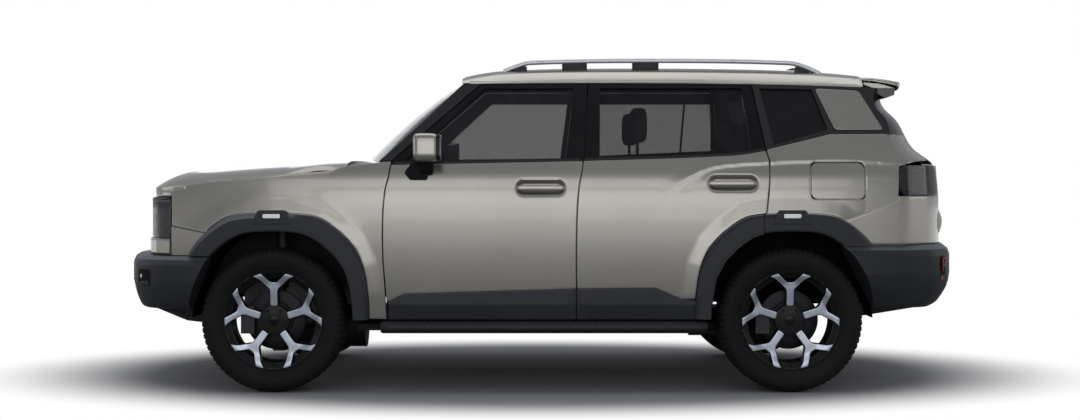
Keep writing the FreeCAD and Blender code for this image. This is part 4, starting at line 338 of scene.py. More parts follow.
def pressed(outline, surface, outward, holes=(), spacing=9.0, gap=PANEL_GAP / 2, radius=3.0, depth=34.0,
            back=False):
    """Sheet on a surface, cut to an outline; its edges roll over a radius and fold back; back closes it."""
    outline = np.asarray(outline, float)
    holes = [np.asarray(hole, float) for hole in holes]
    flat, quads, loops = trimmed_grid(outline, holes, spacing, gap + radius)
    skin = surface(flat[:, 0], flat[:, 1])
    outward = np.asarray(outward, float)
    first = skin[quads]
    normal = np.cross(first[:, 1] - first[:, 0], first[:, 3] - first[:, 0]).sum(0)
    if normal @ outward < 0:
        quads, loops = quads[:, ::-1], [loop[::-1] for loop in loops]
    points, faces, start = [skin], quads.tolist(), len(skin)
    bends = [(radius * math.sin(a), radius * (1 - math.cos(a))) for a in np.radians((22, 45, 68, 90))]
    last_rings = []
    for loop in loops:
        ring, last = skin[loop], loop
        tangent = np.roll(ring, -1, 0) - np.roll(ring, 1, 0)
        out = np.cross(tangent, outward)
        out = (np.roll(out, 1, 0) + out * 2 + np.roll(out, -1, 0))
        out /= np.maximum(np.linalg.norm(out, axis=1), 1e-6)[:, None]
        for sideways, down in bends + [(radius, depth)]:
            points.append(ring + out * sideways - outward * down)
            new = np.arange(start, start + len(loop))
            faces += np.stack((last, new, np.roll(new, -1), np.roll(last, -1)), axis=1).tolist()
            last, start = new, start + len(loop)
        last_rings.append(last)
    if back:
        points.append(skin - outward * depth)
        faces += (quads[:, ::-1] + start).tolist()
        for loop, last in zip(loops, last_rings):
            inner = loop + start
            faces += np.stack((last, inner, np.roll(inner, -1), np.roll(last, -1)), axis=1).tolist()
    return np.vstack(points), faces


# Closed forms: outlines, plates, turned rings, rounded blocks and bars along a line

def rounded(corners, radius, steps=6):
    """Closed outline with soft corners: quadratic curves between points a radius before and after each."""
    corners = np.asarray(corners, float)
    before, after = np.roll(corners, 1, 0) - corners, np.roll(corners, -1, 0) - corners
    size_before, size_after = np.linalg.norm(before, axis=1), np.linalg.norm(after, axis=1)
    longest = 0.49 * np.minimum(size_before, size_after)
    reach = np.minimum(np.broadcast_to(radius, len(corners)), longest)[:, None]
    a = (corners + before / size_before[:, None] * reach)[:, None]
    b = (corners + after / size_after[:, None] * reach)[:, None]
    t = np.linspace(0, 1, steps)[None, :, None]
    return ((1 - t) ** 2 * a + 2 * t * (1 - t) * corners[:, None] + t ** 2 * b).reshape(-1, corners.shape[1])


def box_outline(low, high, radius):
    return rounded([(low[0], low[1]), (high[0], low[1]), (high[0], high[1]), (low[0], high[1])], radius)


def shrunk(outline, distance):
    """Closed outline with each point moved inwards along the mean of its two edges' normals."""
    way = np.roll(outline, -1, 0) - np.roll(outline, 1, 0)
    way /= np.maximum(np.linalg.norm(way, axis=1), 1e-9)[:, None]
    (a, b), (next_a, next_b) = outline.T, np.roll(outline, -1, 0).T
    turn = np.sign(np.sum(a * next_b - next_a * b))
    return outline + np.column_stack((-way[:, 1], way[:, 0])) * turn * distance


def turned_out(points, faces):
    """Faces of a closed form, turned round if its volume, summed over the faces' fans, comes out negative."""
    total = 0.0
    for count in {len(face) for face in faces}:
        corners = points[np.array([face for face in faces if len(face) == count])]
        for k in range(1, count - 1):
            total += np.sum(corners[:, 0] * np.cross(corners[:, k], corners[:, k + 1]))
    return faces if total > 0 else [list(face)[::-1] for face in faces]


def capped(grid, round_columns=False, round_rows=False):
    """Faces of a grid of points, joined round where told; unless its rows join, first and last are filled."""
    rows, columns = grid.shape[:2]
    faces = grid_quads(rows, columns, round_rows, round_columns).tolist()
    if not round_rows:
        number = np.arange(rows * columns).reshape(rows, columns)
        faces += [number[0].tolist(), number[-1][::-1].tolist()]
    return faces


def closed_form(grid, round_rows=False):
    """Form from a grid of closed rings: neighbours joined, and the first and last ring filled."""
    points = grid.reshape(-1, 3)
    return points, turned_out(points, capped(grid, True, round_rows))


def plate(outline, levels, place=lambda a, b, level: (a, level, b)):
    """Block with an outline, drawn in at each level by that level's inset; place sets the axes."""
    rings = []
    for inset, level in levels:
        rings.append(np.column_stack(np.broadcast_arrays(*place(*shrunk(outline, inset).T, level))))
    return closed_form(np.stack(rings))


def edged(low, high, edge):
    """Levels of a block from low to high with both edges rounded."""
    turns = np.linspace(0, math.pi / 2, 4)
    ends = [(edge * (1 - math.sin(t)), edge * (1 - math.cos(t))) for t in turns]
    tops = [(inset, high - rise) for inset, rise in ends[::-1]]
    return [(inset, low + rise) for inset, rise in ends] + tops


def lengthwise(a, b, level):
    return level, a, b


def ring_of(pairs, steps=96, closed=True):
    """Form turned about the wheel's axis: (radius, out) pairs carried through a full circle."""
    turn = np.linspace(0, 2 * math.pi, steps, endpoint=False)[:, None]
    radius, out = np.array(pairs, float).T
    grid = np.stack((np.sin(turn) * radius, out + turn * 0, np.cos(turn) * radius), axis=-1)
    if closed:
        return closed_form(grid, True)
    return closed_form(grid.transpose(1, 0, 2))


def block(low, high, power=6.0, n=10):
    """Rounded block: a cube's grid pushed out until the powers of its shares of the half sizes add to one."""
    a = np.tan(np.linspace(-math.pi / 4, math.pi / 4, n + 1))
    u, v = [m.ravel() for m in np.meshgrid(a, a, indexing="ij")]
    sides = np.vstack([np.roll(np.column_stack((u, v, np.full(len(u), s))), k, axis=1)
                       for k in range(3) for s in (-1.0, 1.0)])
    quads = grid_quads(n + 1, n + 1)
    faces = np.vstack([(quads if (index % 2) else quads[:, ::-1]) + index * len(u) for index in range(6)])
    _, first, back = np.unique(np.round(sides, 6), axis=0, return_index=True, return_inverse=True)
    points = sides[first]
    points = points / (np.abs(points) ** power).sum(1)[:, None] ** (1 / power)
    low, high = np.array(low, float), np.array(high, float)
    points = (low + high) / 2 + points * (high - low) / 2
    faces = back.ravel()[faces].tolist()
    return points, turned_out(points, faces)


def bar(path, section, up=(0.0, 0.0, 1.0), scale=None):
    """Section of (sideways, up) pairs carried along a path, upright to it; scale shrinks it along the way."""
    path = np.asarray(path, float)
    way = np.gradient(path, axis=0)
    way /= np.linalg.norm(way, axis=1)[:, None]
    side = np.cross(way, up)
    side /= np.linalg.norm(side, axis=1)[:, None]
    top = np.cross(side, way)
    scale = np.ones(len(path)) if scale is None else np.asarray(scale, float)
    section = np.asarray(section, float)
    grid = (path[:, None] + side[:, None] * (section[None, :, :1] * scale[:, None, None])
            + top[:, None] * (section[None, :, 1:] * scale[:, None, None]))
    return closed_form(grid)


def oval(half_width, half_height, power=2.6, count=20):
    """Closed section between an ellipse and a box."""
    turn = np.linspace(0, 2 * math.pi, count, endpoint=False)
    reach = (np.abs(np.cos(turn)) ** power + np.abs(np.sin(turn)) ** power) ** (-1 / power)
    return np.column_stack((np.cos(turn) * reach * half_width, np.sin(turn) * reach * half_height))


def moved(part, shift=(0, 0, 0), turn=0.0, axis=1):
    """A form turned about an axis through the origin by degrees and then shifted."""
    points, faces = part
    a = math.radians(turn)
    i, j = [(1, 2), (2, 0), (0, 1)][axis]
    out = np.array(points, float)
    u, v = out[:, i].copy(), out[:, j].copy()
    out[:, i] = u * math.cos(a) - v * math.sin(a)
    out[:, j] = u * math.sin(a) + v * math.cos(a)
    return out + shift, turned_out(out, faces)


# Lines round the nose and the tail

def room_edge(z):
    """Half length of the wheel's room at a height: its circle, or the arch's line from its foot up."""
    line = np.abs(arch_points(0.0, arch_inner)[:len(arch_inner)] - (0, AXLE_Z))
    line *= np.maximum(ARCH_ROOM / np.linalg.norm(line, axis=1), 1)[:, None]
    rise = z - AXLE_Z
    if rise >= line[0, 1]:
        return float(np.interp(rise, line[:, 1], line[:, 0]))
    return math.sqrt(max(ARCH_ROOM ** 2 - rise ** 2, 0.0))


def plan_track(plan):
    """Left half of a plan line from the middle out, run on straight past its end: places, ways, lengths."""
    half = np.array([(sx(b), a * HALF_BODY) for a, b in plan])
    end = (half[-1] - half[-2]) / np.linalg.norm(half[-1] - half[-2])
    line = spread(np.vstack((half, half[-1] + end * 260.0)), 700)
    way = np.gradient(line, axis=0)
    way /= np.linalg.norm(way, axis=1)[:, None]
    length = np.concatenate(([0], np.cumsum(np.linalg.norm(np.diff(line, axis=0), axis=1))))
    return line, way, length


def on_track(track, side, place, out, z):
    """Points at places along a track, both signs, so far out from it and so high; side is 1 at the nose."""
    line, way, length = track
    place, out, z = np.broadcast_arrays(place, out, z)
    far, sign = np.abs(place), np.where(place < 0, -1.0, 1.0)
    x, y, wx, wy = [np.interp(far, length, column) for column in (*line.T, *way.T)]
    return np.stack((x + wy * side * out, sign * (y - wx * side * out), z * 1.0), axis=-1)


def wrapped(plan, side, profile, ends, count=70):
    """Closed band: each (out, height) pair runs round the plan line to the places where X meets the end."""
    track = plan_track(plan)
    share = np.linspace(-1, 1, 2 * count - 1)
    rows = []
    for out, z in profile:
        stop = np.interp(-side * ends(z), -side * track[0][:, 0], track[2])
        rows.append(on_track(track, side, share * stop, out, z))
    return closed_form(np.stack(rows, axis=1))


def span_on(plan, side, profile, low, high, count=40):
    """Closed band between two places along a plan line, measured from its middle."""
    track = plan_track(plan)
    place = np.linspace(low, high, count)
    return closed_form(np.stack([on_track(track, side, place, out, z) for out, z in profile], axis=1))


def patch_on(plan, side, outline, front, out, thick, **shape):
    """Pressed plate laid on a band: its outline is in (place along the line, height); front gives the band's
    own out at a height, and the plate stands out further."""
    track = plan_track(plan)
    middle = outline.mean(0)[0]
    wx, wy = [np.interp(abs(middle), track[2], column) for column in track[1].T]
    outward = (wy * side, -wx * side * (1 if middle > 0 else -1), 0.0)
    return pressed(outline, lambda a, z: on_track(track, side, a, front(z) + out, z), outward, gap=0.0,
                   depth=thick, back=True, **shape)


def patches_on(plan, side, outlines, front, out, thick, **shape):
    """The same plates on the left and the right half of a band, for each of a list of outlines."""
    return [patch_on(plan, side, (outline * (sign, 1))[::sign], front, out, thick, **shape)
            for outline in outlines for sign in (1, -1)]


def flat_out(value):
    return lambda z: z * 0 + value


def knots(profile):
    """Out by height for the outer face of a closed profile."""
    pairs = sorted({(z, max(d for d, w in profile if abs(w - z) < 0.5)) for _, z in profile})
    heights, outs = np.array(pairs).T
    return lambda z: np.interp(z, heights, outs)


# Materials: shader maths as plain sums

class Wire:
    """An output socket of one material's graph; sums and products of wires add Math nodes."""

    def __init__(self, graph, socket):
        self.graph, self.socket = graph, socket

    def maths(self, operation, *values):
        return self.graph.node("ShaderNodeMath", {"operation": operation}, values)

    def __add__(self, other):
        return self.maths("ADD", self, other)

    def __sub__(self, other):
        return self.maths("SUBTRACT", self, other)

    def __rsub__(self, other):
        return self.maths("SUBTRACT", other, self)

    def __mul__(self, other):
        return self.maths("MULTIPLY", self, other)

    def over(self, low, high):
        """0 below low, 1 above high, smooth between."""
        return self.graph.node("ShaderNodeMapRange", {"interpolation_type": "SMOOTHSTEP"},
                               {"Value": self, "From Min": low, "From Max": high})

    __radd__ = __add__
    __rmul__ = __mul__


class Graph:
    """The nodes of one material, made by one method."""

    def __init__(self, name):
        self.material = bpy.data.materials.new(name)
        self.material.use_nodes = True
        self.tree = self.material.node_tree
        self.tree.nodes.clear()
        self.place = self.node("ShaderNodeTexCoord", {}, {}, "Object")

    def node(self, kind, settings, inputs, output=0):
        """Node of a kind: its settings first, then its sockets' values or wires."""
        node = self.tree.nodes.new(kind)
        for key, value in settings.items():
            setattr(node, key, value)
        for key, value in (inputs.items() if isinstance(inputs, dict) else enumerate(inputs)):
            if isinstance(value, Wire):
                self.tree.links.new(value.socket, node.inputs[key])
            else:
                node.inputs[key].default_value = value
        return Wire(self, node.outputs[output])

    def axis(self, letter, vector=None):
        return self.node("ShaderNodeSeparateXYZ", {}, {0: vector or self.place}, letter)

    def noise(self, scale, detail=2.0):
        return self.node("ShaderNodeTexNoise", {}, {"Vector": self.place, "Scale": scale, "Detail": detail})

    def cells(self, scale):
        return self.node("ShaderNodeTexVoronoi", {}, {"Vector": self.place, "Scale": scale}, "Distance")

    def blend(self, share, low, high):
        """Colour that goes from low to high with a share."""
        values = [value if isinstance(value, Wire) else (*value, 1.0) for value in (low, high)]
        return self.node("ShaderNodeMix", {"data_type": "RGBA"}, {0: share, 6: values[0], 7: values[1]}, 2)

    def dents(self, height, strength, distance):
        inputs = {"Height": height, "Strength": strength, "Distance": distance}
        return self.node("ShaderNodeBump", {}, inputs)

    def finish(self, **sockets):
        """Principled surface with sockets named in plain words, put on the output."""
        words = {key.replace("_", " ").title().replace("Ior", "IOR"): value
                 for key, value in sockets.items()}
        for key in ("Base Color", "Emission Color"):
            if key in words and not isinstance(words[key], Wire):
                words[key] = (*words[key], 1.0)
        surface = self.node("ShaderNodeBsdfPrincipled", {}, words)
        self.node_output(surface)
        return self.material

    def node_output(self, surface):
        output = self.tree.nodes.new("ShaderNodeOutputMaterial")
        self.tree.links.new(surface.socket, output.inputs["Surface"])


def grained(name, colour, pale, roughness, scale=700.0, strength=0.25, painted_top_light=None, shine=0.3):
    """Moulded plastic: fine cell grain, cloudy tone and a roughness that follows both; where a top tone is
    given, faces that look up are painted paler, painted light from above."""
    g = Graph(name)
    cloud = g.noise(3.0, 4.0)
    grain = g.cells(scale)
    tone = cloud.over(0.35, 0.7)
    normal = g.dents(grain, strength, 0.0006)
    shade = g.blend(tone * 0.6 + grain * 0.25, colour, pale)
    if painted_top_light:
        # Painted light: faces that look up blend towards the paler top tone, as if lit from above.
        looks_up = g.axis("Z", g.node("ShaderNodeNewGeometry", {}, {}, "Normal")).over(0.30, 0.85)
        shade = g.blend(looks_up, shade, painted_top_light)
    return g.finish(base_color=shade, roughness=roughness + tone * 0.06 + grain * 0.05, normal=normal,
                    specular_ior_level=shine)


def gloss(name, colour, roughness, coat=0.6, flow=0.02, shine=0.5):
    """Polished plastic or painted trim: a slow ripple and faint cloud under a clear coat."""
    g = Graph(name)
    ripple = g.noise(26.0, 2.0)
    tone = g.noise(5.0, 3.0).over(0.3, 0.75)
    pale = tuple(min(1.0, c * 1.25 + 0.004) for c in colour)
    return g.finish(base_color=g.blend(tone, colour, pale), roughness=roughness + tone * 0.04,
                    coat_weight=coat, coat_roughness=0.04, normal=g.dents(ripple, flow, 0.002),
                    specular_ior_level=shine)


PAINT_TONES = ((0.270, 0.258, 0.232), (0.350, 0.338, 0.308))
PAINT_METALLIC = 0.82
PANEL_BLACK = (0.005, 0.005, 0.006)
TONE_EDGE = 0.001


def body_paint_material():
    """Metallic car paint: fine flakes under clear coat, a faint orange-peel ripple and slow tone drift."""
    g = Graph("warm_grey_paint")
    flake = g.cells(2600.0)
    drift = g.noise(1.4, 3.0).over(0.3, 0.7)
    peel = g.noise(240.0, 1.0)
    tone = flake * 0.35 + drift * 0.25
    colour = g.blend(tone, *PAINT_TONES)
    return g.finish(base_color=colour, metallic=PAINT_METALLIC, roughness=0.22 + flake * 0.10,
                    coat_weight=0.7, coat_roughness=0.06, normal=g.dents(peel, 0.05, 0.0006))


def two_tone(name, low, high=None, lift=None):
    """Painted panel that is gloss black from one height up to another; lift raises both by a rule on X."""
    g = Graph(name)
    height = g.axis("Z") - lift(g) if lift else g.axis("Z")
    share = height.over(low - TONE_EDGE, low + TONE_EDGE)
    if high is not None:
        share = share * (1.0 - height.over(high - TONE_EDGE, high + TONE_EDGE))
    drift = g.noise(1.4, 3.0).over(0.3, 0.7)
    flake = g.cells(2600.0)
    colour = g.blend(share, g.blend(flake * 0.35 + drift * 0.25, *PAINT_TONES), PANEL_BLACK)
    return g.finish(base_color=colour, metallic=(1.0 - share) * PAINT_METALLIC, roughness=0.26 - share * 0.06,
                    coat_weight=0.7 - share * 0.5, coat_roughness=0.05,
                    normal=g.dents(g.noise(240.0, 1.0), 0.05, 0.0006))


def glass_material(name, tint, alpha, shine=0.5):
    """Tinted glass: dark body colour with a faint haze, nearly mirror-smooth."""
    g = Graph(name)
    haze = g.noise(9.0, 2.0)
    return g.finish(base_color=g.blend(haze.over(0.35, 0.7), tint, tuple(c * 1.5 for c in tint)),
                    roughness=0.03 + haze * 0.03, alpha=alpha, specular_ior_level=shine)


def metal(name, colour, roughness, grain=900.0):
    """Bare or machined metal: fine grain over a cloudy tone."""
    g = Graph(name)
    fine = g.noise(grain, 2.0)
    cloud = g.noise(7.0, 3.0).over(0.3, 0.7)
    pale = tuple(min(1.0, c * 1.12) for c in colour)
    return g.finish(base_color=g.blend(cloud * 0.6 + fine * 0.3, colour, pale), metallic=1.0,
                    roughness=roughness + fine * 0.10, normal=g.dents(fine, 0.06, 0.0004))


paint = body_paint_material()
gate_tones = two_tone("tailgate_two_tone", 1.330, 1.668)
black_gloss = gloss("gloss_black_trim", (0.004, 0.004, 0.005), 0.20, 0.05, shine=0.16)
# Charcoal and bumper plastic carry painted light: their upward faces are painted paler.
charcoal = grained("charcoal_plastic", (0.020, 0.021, 0.025), (0.030, 0.032, 0.038), 0.46,
                   painted_top_light=(0.10, 0.107, 0.125))
bumper_plastic = grained("bumper_plastic", (0.018, 0.019, 0.023), (0.027, 0.029, 0.034), 0.42, 620.0,
                         painted_top_light=(0.12, 0.128, 0.150))
step_plastic = grained("step_black_plastic", (0.012, 0.012, 0.014), (0.022, 0.023, 0.027), 0.55)
cabin_plastic = grained("cabin_plastic", (0.018, 0.018, 0.020), (0.030, 0.030, 0.034), 0.60, 500.0)
chassis_black = grained("chassis_black", (0.012, 0.012, 0.013), (0.024, 0.023, 0.022), 0.62, 160.0, 0.4)
liner_felt = grained("liner_felt", (0.006, 0.006, 0.007), (0.014, 0.014, 0.015), 0.92, 420.0, 0.6, shine=0.05)
# Matte black for the mirror feet and spoiler lip; painted shade on the plates for pockets and recesses.
black_and_recess_shade = grained("black_and_recess_shade", (0.006, 0.006, 0.007), (0.012, 0.012, 0.014), 0.60, 500.0, shine=0.1)
tyre_rubber = grained("tyre_rubber", (0.007, 0.007, 0.0075), (0.014, 0.014, 0.015), 0.60, 420.0, 0.35,
                      shine=0.16)
seat_cloth = grained("seat_cloth", (0.040, 0.041, 0.045), (0.075, 0.076, 0.082), 0.90, 620.0, 0.6)
side_glass = glass_material("tinted_side_glass", (0.020, 0.021, 0.024), 0.44, 0.3)
rear_side_glass = glass_material("privacy_side_glass", (0.014, 0.014, 0.017), 0.46, 0.25)
rear_glass = glass_material("dark_rear_glass", (0.008, 0.008, 0.010), 0.86, 0.25)
clear_lens = gloss("clear_lamp_glass", (0.42, 0.45, 0.50), 0.05, 1.0)
pod_lens = gloss("pod_lens_white", (0.80, 0.82, 0.84), 0.12)
smoke_grey = gloss("smoked_reflector", (0.12, 0.13, 0.15), 0.10, 1.0)
lamp_red = gloss("lamp_red", (0.30, 0.010, 0.012), 0.10, 1.0)
eye_red = gloss("tow_eye_red", (0.15, 0.010, 0.008), 0.30)
bare_plate = gloss("bare_plate", (0.58, 0.58, 0.57), 0.34, 0.3)
grille_black = gloss("grille_black", (0.014, 0.014, 0.017), 0.24)
lamp_cover = glass_material("clear_lamp_cover", (0.02, 0.023, 0.027), 0.50)
smoke_cover = glass_material("smoked_lamp_cover", (0.016, 0.016, 0.019), 0.66)
mirror_silver = metal("mirror_silver", (0.72, 0.74, 0.76), 0.03)
machined = metal("machined_alloy", (0.42, 0.455, 0.51), 0.30)
wheel_black = gloss("wheel_black", (0.005, 0.005, 0.006), 0.38, 0.06, shine=0.2)
disc_steel = metal("brake_disc_steel", (0.025, 0.025, 0.028), 0.42)
silver = metal("rail_silver", (0.46, 0.47, 0.50), 0.36)
engine_cast = metal("cast_engine_alloy", (0.28, 0.28, 0.29), 0.55, grain=300.0)
exhaust_steel = metal("exhaust_steel", (0.33, 0.31, 0.29), 0.42)
suspension_iron = metal("suspension_iron", (0.06, 0.06, 0.065), 0.56, grain=240.0)

# Stage, camera and light

scene = bpy.context.scene
scene.view_settings.view_transform = "Standard"


def stage_floor():
    """Pale floor disc that keeps the shadow and turns into plain white away from the car."""
    steps, radii = 96, (2.0, 4.0, 8.0, 16.0, 30.0, 60.0)
    turn = np.linspace(0, 2 * math.pi, steps, endpoint=False)
    points = [np.zeros((1, 3))]
    points += [np.column_stack((np.cos(turn) * r, np.sin(turn) * r, turn * 0)) for r in radii]
    faces = [[0, 1 + k, 1 + (k + 1) % steps] for k in range(steps)]
    faces += [[a + 1 for a in f[::-1]] for f in grid_quads(len(radii), steps, closed_columns=True).tolist()]
    mesh = bpy.data.meshes.new("floor")
    mesh.from_pydata(np.vstack(points).tolist(), [], faces)
    g = Graph("floor_white")
    length = g.node("ShaderNodeVectorMath", {"operation": "LENGTH"}, {0: g.place}, "Value")
    squeeze = {0: g.place, 1: (0.56, 1.0, 1.0)}
    squeezed = g.node("ShaderNodeVectorMath", {"operation": "MULTIPLY"}, squeeze, "Vector")
    near = g.node("ShaderNodeVectorMath", {"operation": "LENGTH"}, {0: squeezed}, "Value")
    diffuse = g.node("ShaderNodeBsdfDiffuse", {}, {"Color": (0.29, 0.29, 0.30, 1)})
    plain = g.node("ShaderNodeEmission", {}, {"Color": (1, 1, 1, 1), "Strength": 1.0})
    path = g.tree.nodes.new("ShaderNodeLightPath")
    direct = Wire(g, path.outputs["Is Camera Ray"]) + Wire(g, path.outputs["Is Transmission Ray"])
    mirrored = Wire(g, path.outputs["Is Glossy Ray"])
    share = near.over(1.25, 1.95) * direct.over(0.0, 1.0) + length.over(8.0, 15.0) * mirrored
    mixed = g.node("ShaderNodeMixShader", {}, {0: share, 1: diffuse, 2: plain})
    g.node_output(mixed)
    mesh.materials.append(g.material)
    floor = bpy.data.objects.new("floor", mesh)
    scene.collection.objects.link(floor)


def studio_world():
    """Soft grey surroundings for the light on the car, white where the camera sees past it."""
    world = bpy.data.worlds.new("studio")
    scene.world = world
    world.use_nodes = True
    tree = world.node_tree
    tree.nodes.clear()
    path = tree.nodes.new("ShaderNodeLightPath")
    ambient = tree.nodes.new("ShaderNodeBackground")
    ambient.inputs["Color"].default_value = (0.78, 0.81, 0.86, 1)
    ambient.inputs["Strength"].default_value = 0.50
    plain = tree.nodes.new("ShaderNodeBackground")
    plain.inputs["Color"].default_value = (1, 1, 1, 1)
    mix = tree.nodes.new("ShaderNodeMixShader")
    output = tree.nodes.new("ShaderNodeOutputWorld")
    tree.links.new(path.outputs["Is Camera Ray"], mix.inputs[0])
    tree.links.new(ambient.outputs[0], mix.inputs[1])
    tree.links.new(plain.outputs[0], mix.inputs[2])
    tree.links.new(mix.outputs[0], output.inputs["Surface"])


def softbox(name, place, aim, size, watts):
    """Oblong lamp at a place, turned towards its aim."""
    light = bpy.data.lights.new(name, "AREA")
    light.shape = "RECTANGLE"
    light.size, light.size_y = size
    light.energy = watts
    lamp = bpy.data.objects.new(name, light)
    scene.collection.objects.link(lamp)
    lamp.location = place
    way = np.array(aim, float) - np.array(place, float)
    lamp.rotation_euler = Vector(way.tolist()).to_track_quat("-Z", "Y").to_euler()


PHOTO_WIDTH = 1080
CAMERA_PLACE = (0.028, 9.062, 1.150)
SHIFT_X, SHIFT_Z = 8.0, -29.2


def photo_camera():
    """Level camera on the left side that looks straight across the car; its shifts are in pixels."""
    data = bpy.data.cameras.new("camera")
    data.lens, data.sensor_width = 50.0, 36.0
    data.shift_x, data.shift_y = SHIFT_X / PHOTO_WIDTH, SHIFT_Z / PHOTO_WIDTH
    camera = bpy.data.objects.new("camera", data)
    scene.collection.objects.link(camera)
    camera.location = CAMERA_PLACE
    camera.rotation_euler = (math.radians(90), 0, math.radians(180))
    scene.camera = camera


stage_floor()
studio_world()
photo_camera()
softbox("top_box", (0.0, 0.2, 4.6), (0.0, 0.0, 0.0), (6.5, 2.6), 84)
softbox("side_box", (0.0, 9.8, 1.65), (0.0, 0.0, 1.2), (9.0, 1.8), 98)
softbox("brow_box", (0.0, 9.2, 3.7), (0.0, 0.0, 1.0), (9.0, 1.5), 62)
softbox("back_box", (0.0, -7.5, 2.8), (0.0, 0.0, 0.8), (8.0, 2.4), 70)
softbox("nose_box", (7.5, 1.0, 2.2), (0.0, 0.0, 0.8), (4.0, 2.0), 35)
softbox("tail_box", (-7.5, 1.0, 2.2), (0.0, 0.0, 0.8), (4.0, 2.0), 35)


# Painted side panels: patches of the side view laid on the body's half width

handles = [(sx(-0.0166), sz(0.6022)), (sx(-0.3876), sz(0.6152))]
HANDLE_HALF = 141.0
HANDLE_RISE = 50.0
HANDLE_DEPTH = 22.0
HAUNCH_OUT, HAUNCH_HEIGHT = 7.0, 90.0
BLISTER_OUT, BLISTER_REACH, BLISTER_WIDTH = 4.0, 640.0, 46.0
SHOULDER_OUT, SHOULDER_WIDTH = 12.0, 82.0
SHOULDER_LIMIT = 760.0


def handle_dish(x, z):
    """Long oval cup round each handle: depth falls from its floor to nothing over the cup's rim."""
    depth = np.zeros(np.shape(x))
    for hx, hz in handles:
        away = np.sqrt((np.maximum(np.abs(x - hx) - (HANDLE_HALF - HANDLE_RISE), 0)) ** 2 + (z - hz) ** 2)
        depth += HANDLE_DEPTH * (1 - ease(HANDLE_RISE * 0.45, HANDLE_RISE * 0.98, away))
    return depth


haunch_crease = [(-1950.0, 1245.0), (-1635.0, 1258.0), (-1257.0, 1248.0), (-987.0, 1228.0), (-879.0, 1195.0),
                 (-744.0, 1110.0), (-620.0, 1010.0)]


def haunch(x, z):
    """Shoulder over the rear wheel: a swelling above the crease that climbs from the rear door."""
    crease = along(haunch_crease, x)
    reach = ease(-600.0, -960.0, x)
    above = np.clip((z - crease) / HAUNCH_HEIGHT, -1.0, 1.0)
    swell = np.exp(-np.maximum(-above, 0) * 7.0) * ease(1.0, 0.0, above)
    return reach * HAUNCH_OUT * (swell - 0.35 * ease(-0.9, 0.0, above) * (above < 0))


def fender_blister(x, z):
    """Slight swelling of the wing in a ring round the front wheel; it dies out before the door."""
    away = np.hypot(x - FRONT_AXLE_X, (z - AXLE_Z) * 0.96)
    return BLISTER_OUT * np.exp(-((away - BLISTER_REACH) / BLISTER_WIDTH) ** 2) * ease(850.0, 1150.0, x)


def arch_shoulder(x, z):
    """Painted shoulder round both flares: the skin rises over the last stretch before the flare's line."""
    places = np.column_stack([np.ravel(a) for a in np.broadcast_arrays(x, z)]).astype(float)
    rise = np.zeros(len(places))
    for axle_x in (FRONT_AXLE_X, REAR_AXLE_X):
        near = np.hypot(places[:, 0] - axle_x, places[:, 1] - AXLE_Z) < SHOULDER_LIMIT
        if near.any():
            away = ring_reach(places[near], arch_points(axle_x, arch_outer))[0]
            rise[near] += SHOULDER_OUT * np.clip(1 - away / SHOULDER_WIDTH, 0, 1) ** 1.2
    return rise.reshape(np.broadcast(x, z).shape)


def painted_y(x, z):
    """Painted side: the half width plus the haunch, the wing's swelling and the flares' lips."""
    return side_y(x, z) + haunch(x, z) + fender_blister(x, z) + arch_shoulder(x, z)


def side_surface(out=PROUD, dished=False):
    """Points of the painted side, so far out from it, less the handles' cups where it is dished."""
    def place(x, z):
        y = painted_y(x, z) + out - (handle_dish(x, z) if dished else 0)
        return np.column_stack((x, y, z))
    return place


def side_panel(name, outline, body, out=PROUD, dished=False, **shape):
    """Sheet on the side of the car inside a side-view outline, one for each side."""
    sheet = pressed(outline, side_surface(out, dished), (0, 1, 0), **shape)
    put(name, *sheet, body, "body_paint", paint, both=True)


def belt_points(low_share, high_share, count=40, lift=0.0):
    x = np.linspace(sx(low_share), sx(high_share), count)
    return np.column_stack((x, sz(along(belt_line, base_share(x))) + lift))


def curved(shares, low, high=math.inf):
    """Smooth line through share places, only its stretch between two heights."""
    line = spread(at(shares), 160)
    return line[(line[:, 1] > low) & (line[:, 1] < high)]


def arch_stretch(axle_x, shares, keep):
    """The points of an arch line that a rule on X and Z keeps, from the front foot over the top."""
    line = spread(arch_points(axle_x, shares), 900)
    return line[keep(line[:, 0], line[:, 1])]


split_x = sx(rear_gap[-1][0])
DOOR_FOOT = 400.0


def front_door_outline():
    belt = belt_points(-0.0985, 0.2712)
    clad = at(cladding_front)
    front = curved(front_gap, clad[0, 1], belt[-1, 1])
    middle = curved(middle_gap, clad[2, 1], belt[0, 1])
    return np.vstack((belt, front, clad[:1] + (2.0, 0), clad[1:], middle[::-1]))


def rear_door_outline():
    belt = belt_points(-0.4545, -0.0985)
    clad = at(cladding_rear)
    middle = curved(middle_gap, clad[0, 1], belt[-1, 1])
    arch = arch_stretch(REAR_AXLE_X, arch_outer, lambda x, z: (x > split_x) & (z > clad[2, 1]))
    rear = curved(rear_gap, arch[-1, 1], belt[0, 1])
    return np.vstack((belt, middle, clad[:3], arch[::6], rear[::-1]))


def fender_outline():
    nose = at(fender_front)
    arch = arch_stretch(FRONT_AXLE_X, arch_outer, lambda x, z: (x < nose[0, 0]) & (z > DOOR_FOOT))
    front = curved(front_gap, DOOR_FOOT)
    top = spread(at(fender_top), 60)
    return np.vstack((nose, top, front, arch[::-6]))


quarter_top = [(-0.4545, 0.7160), (-0.5820, 0.7627), (-0.7060, 0.7640), (-0.7360, 0.7520)]
quarter_back = [(-0.7560, 0.7200), (-0.7830, 0.6870), (-0.7340, 0.6740), (-0.7130, 0.6640), (-0.7085, 0.5780),
                (-0.7050, 0.5640), QUARTER_FOOT]


CORNER_SOFTNESS = 12.0


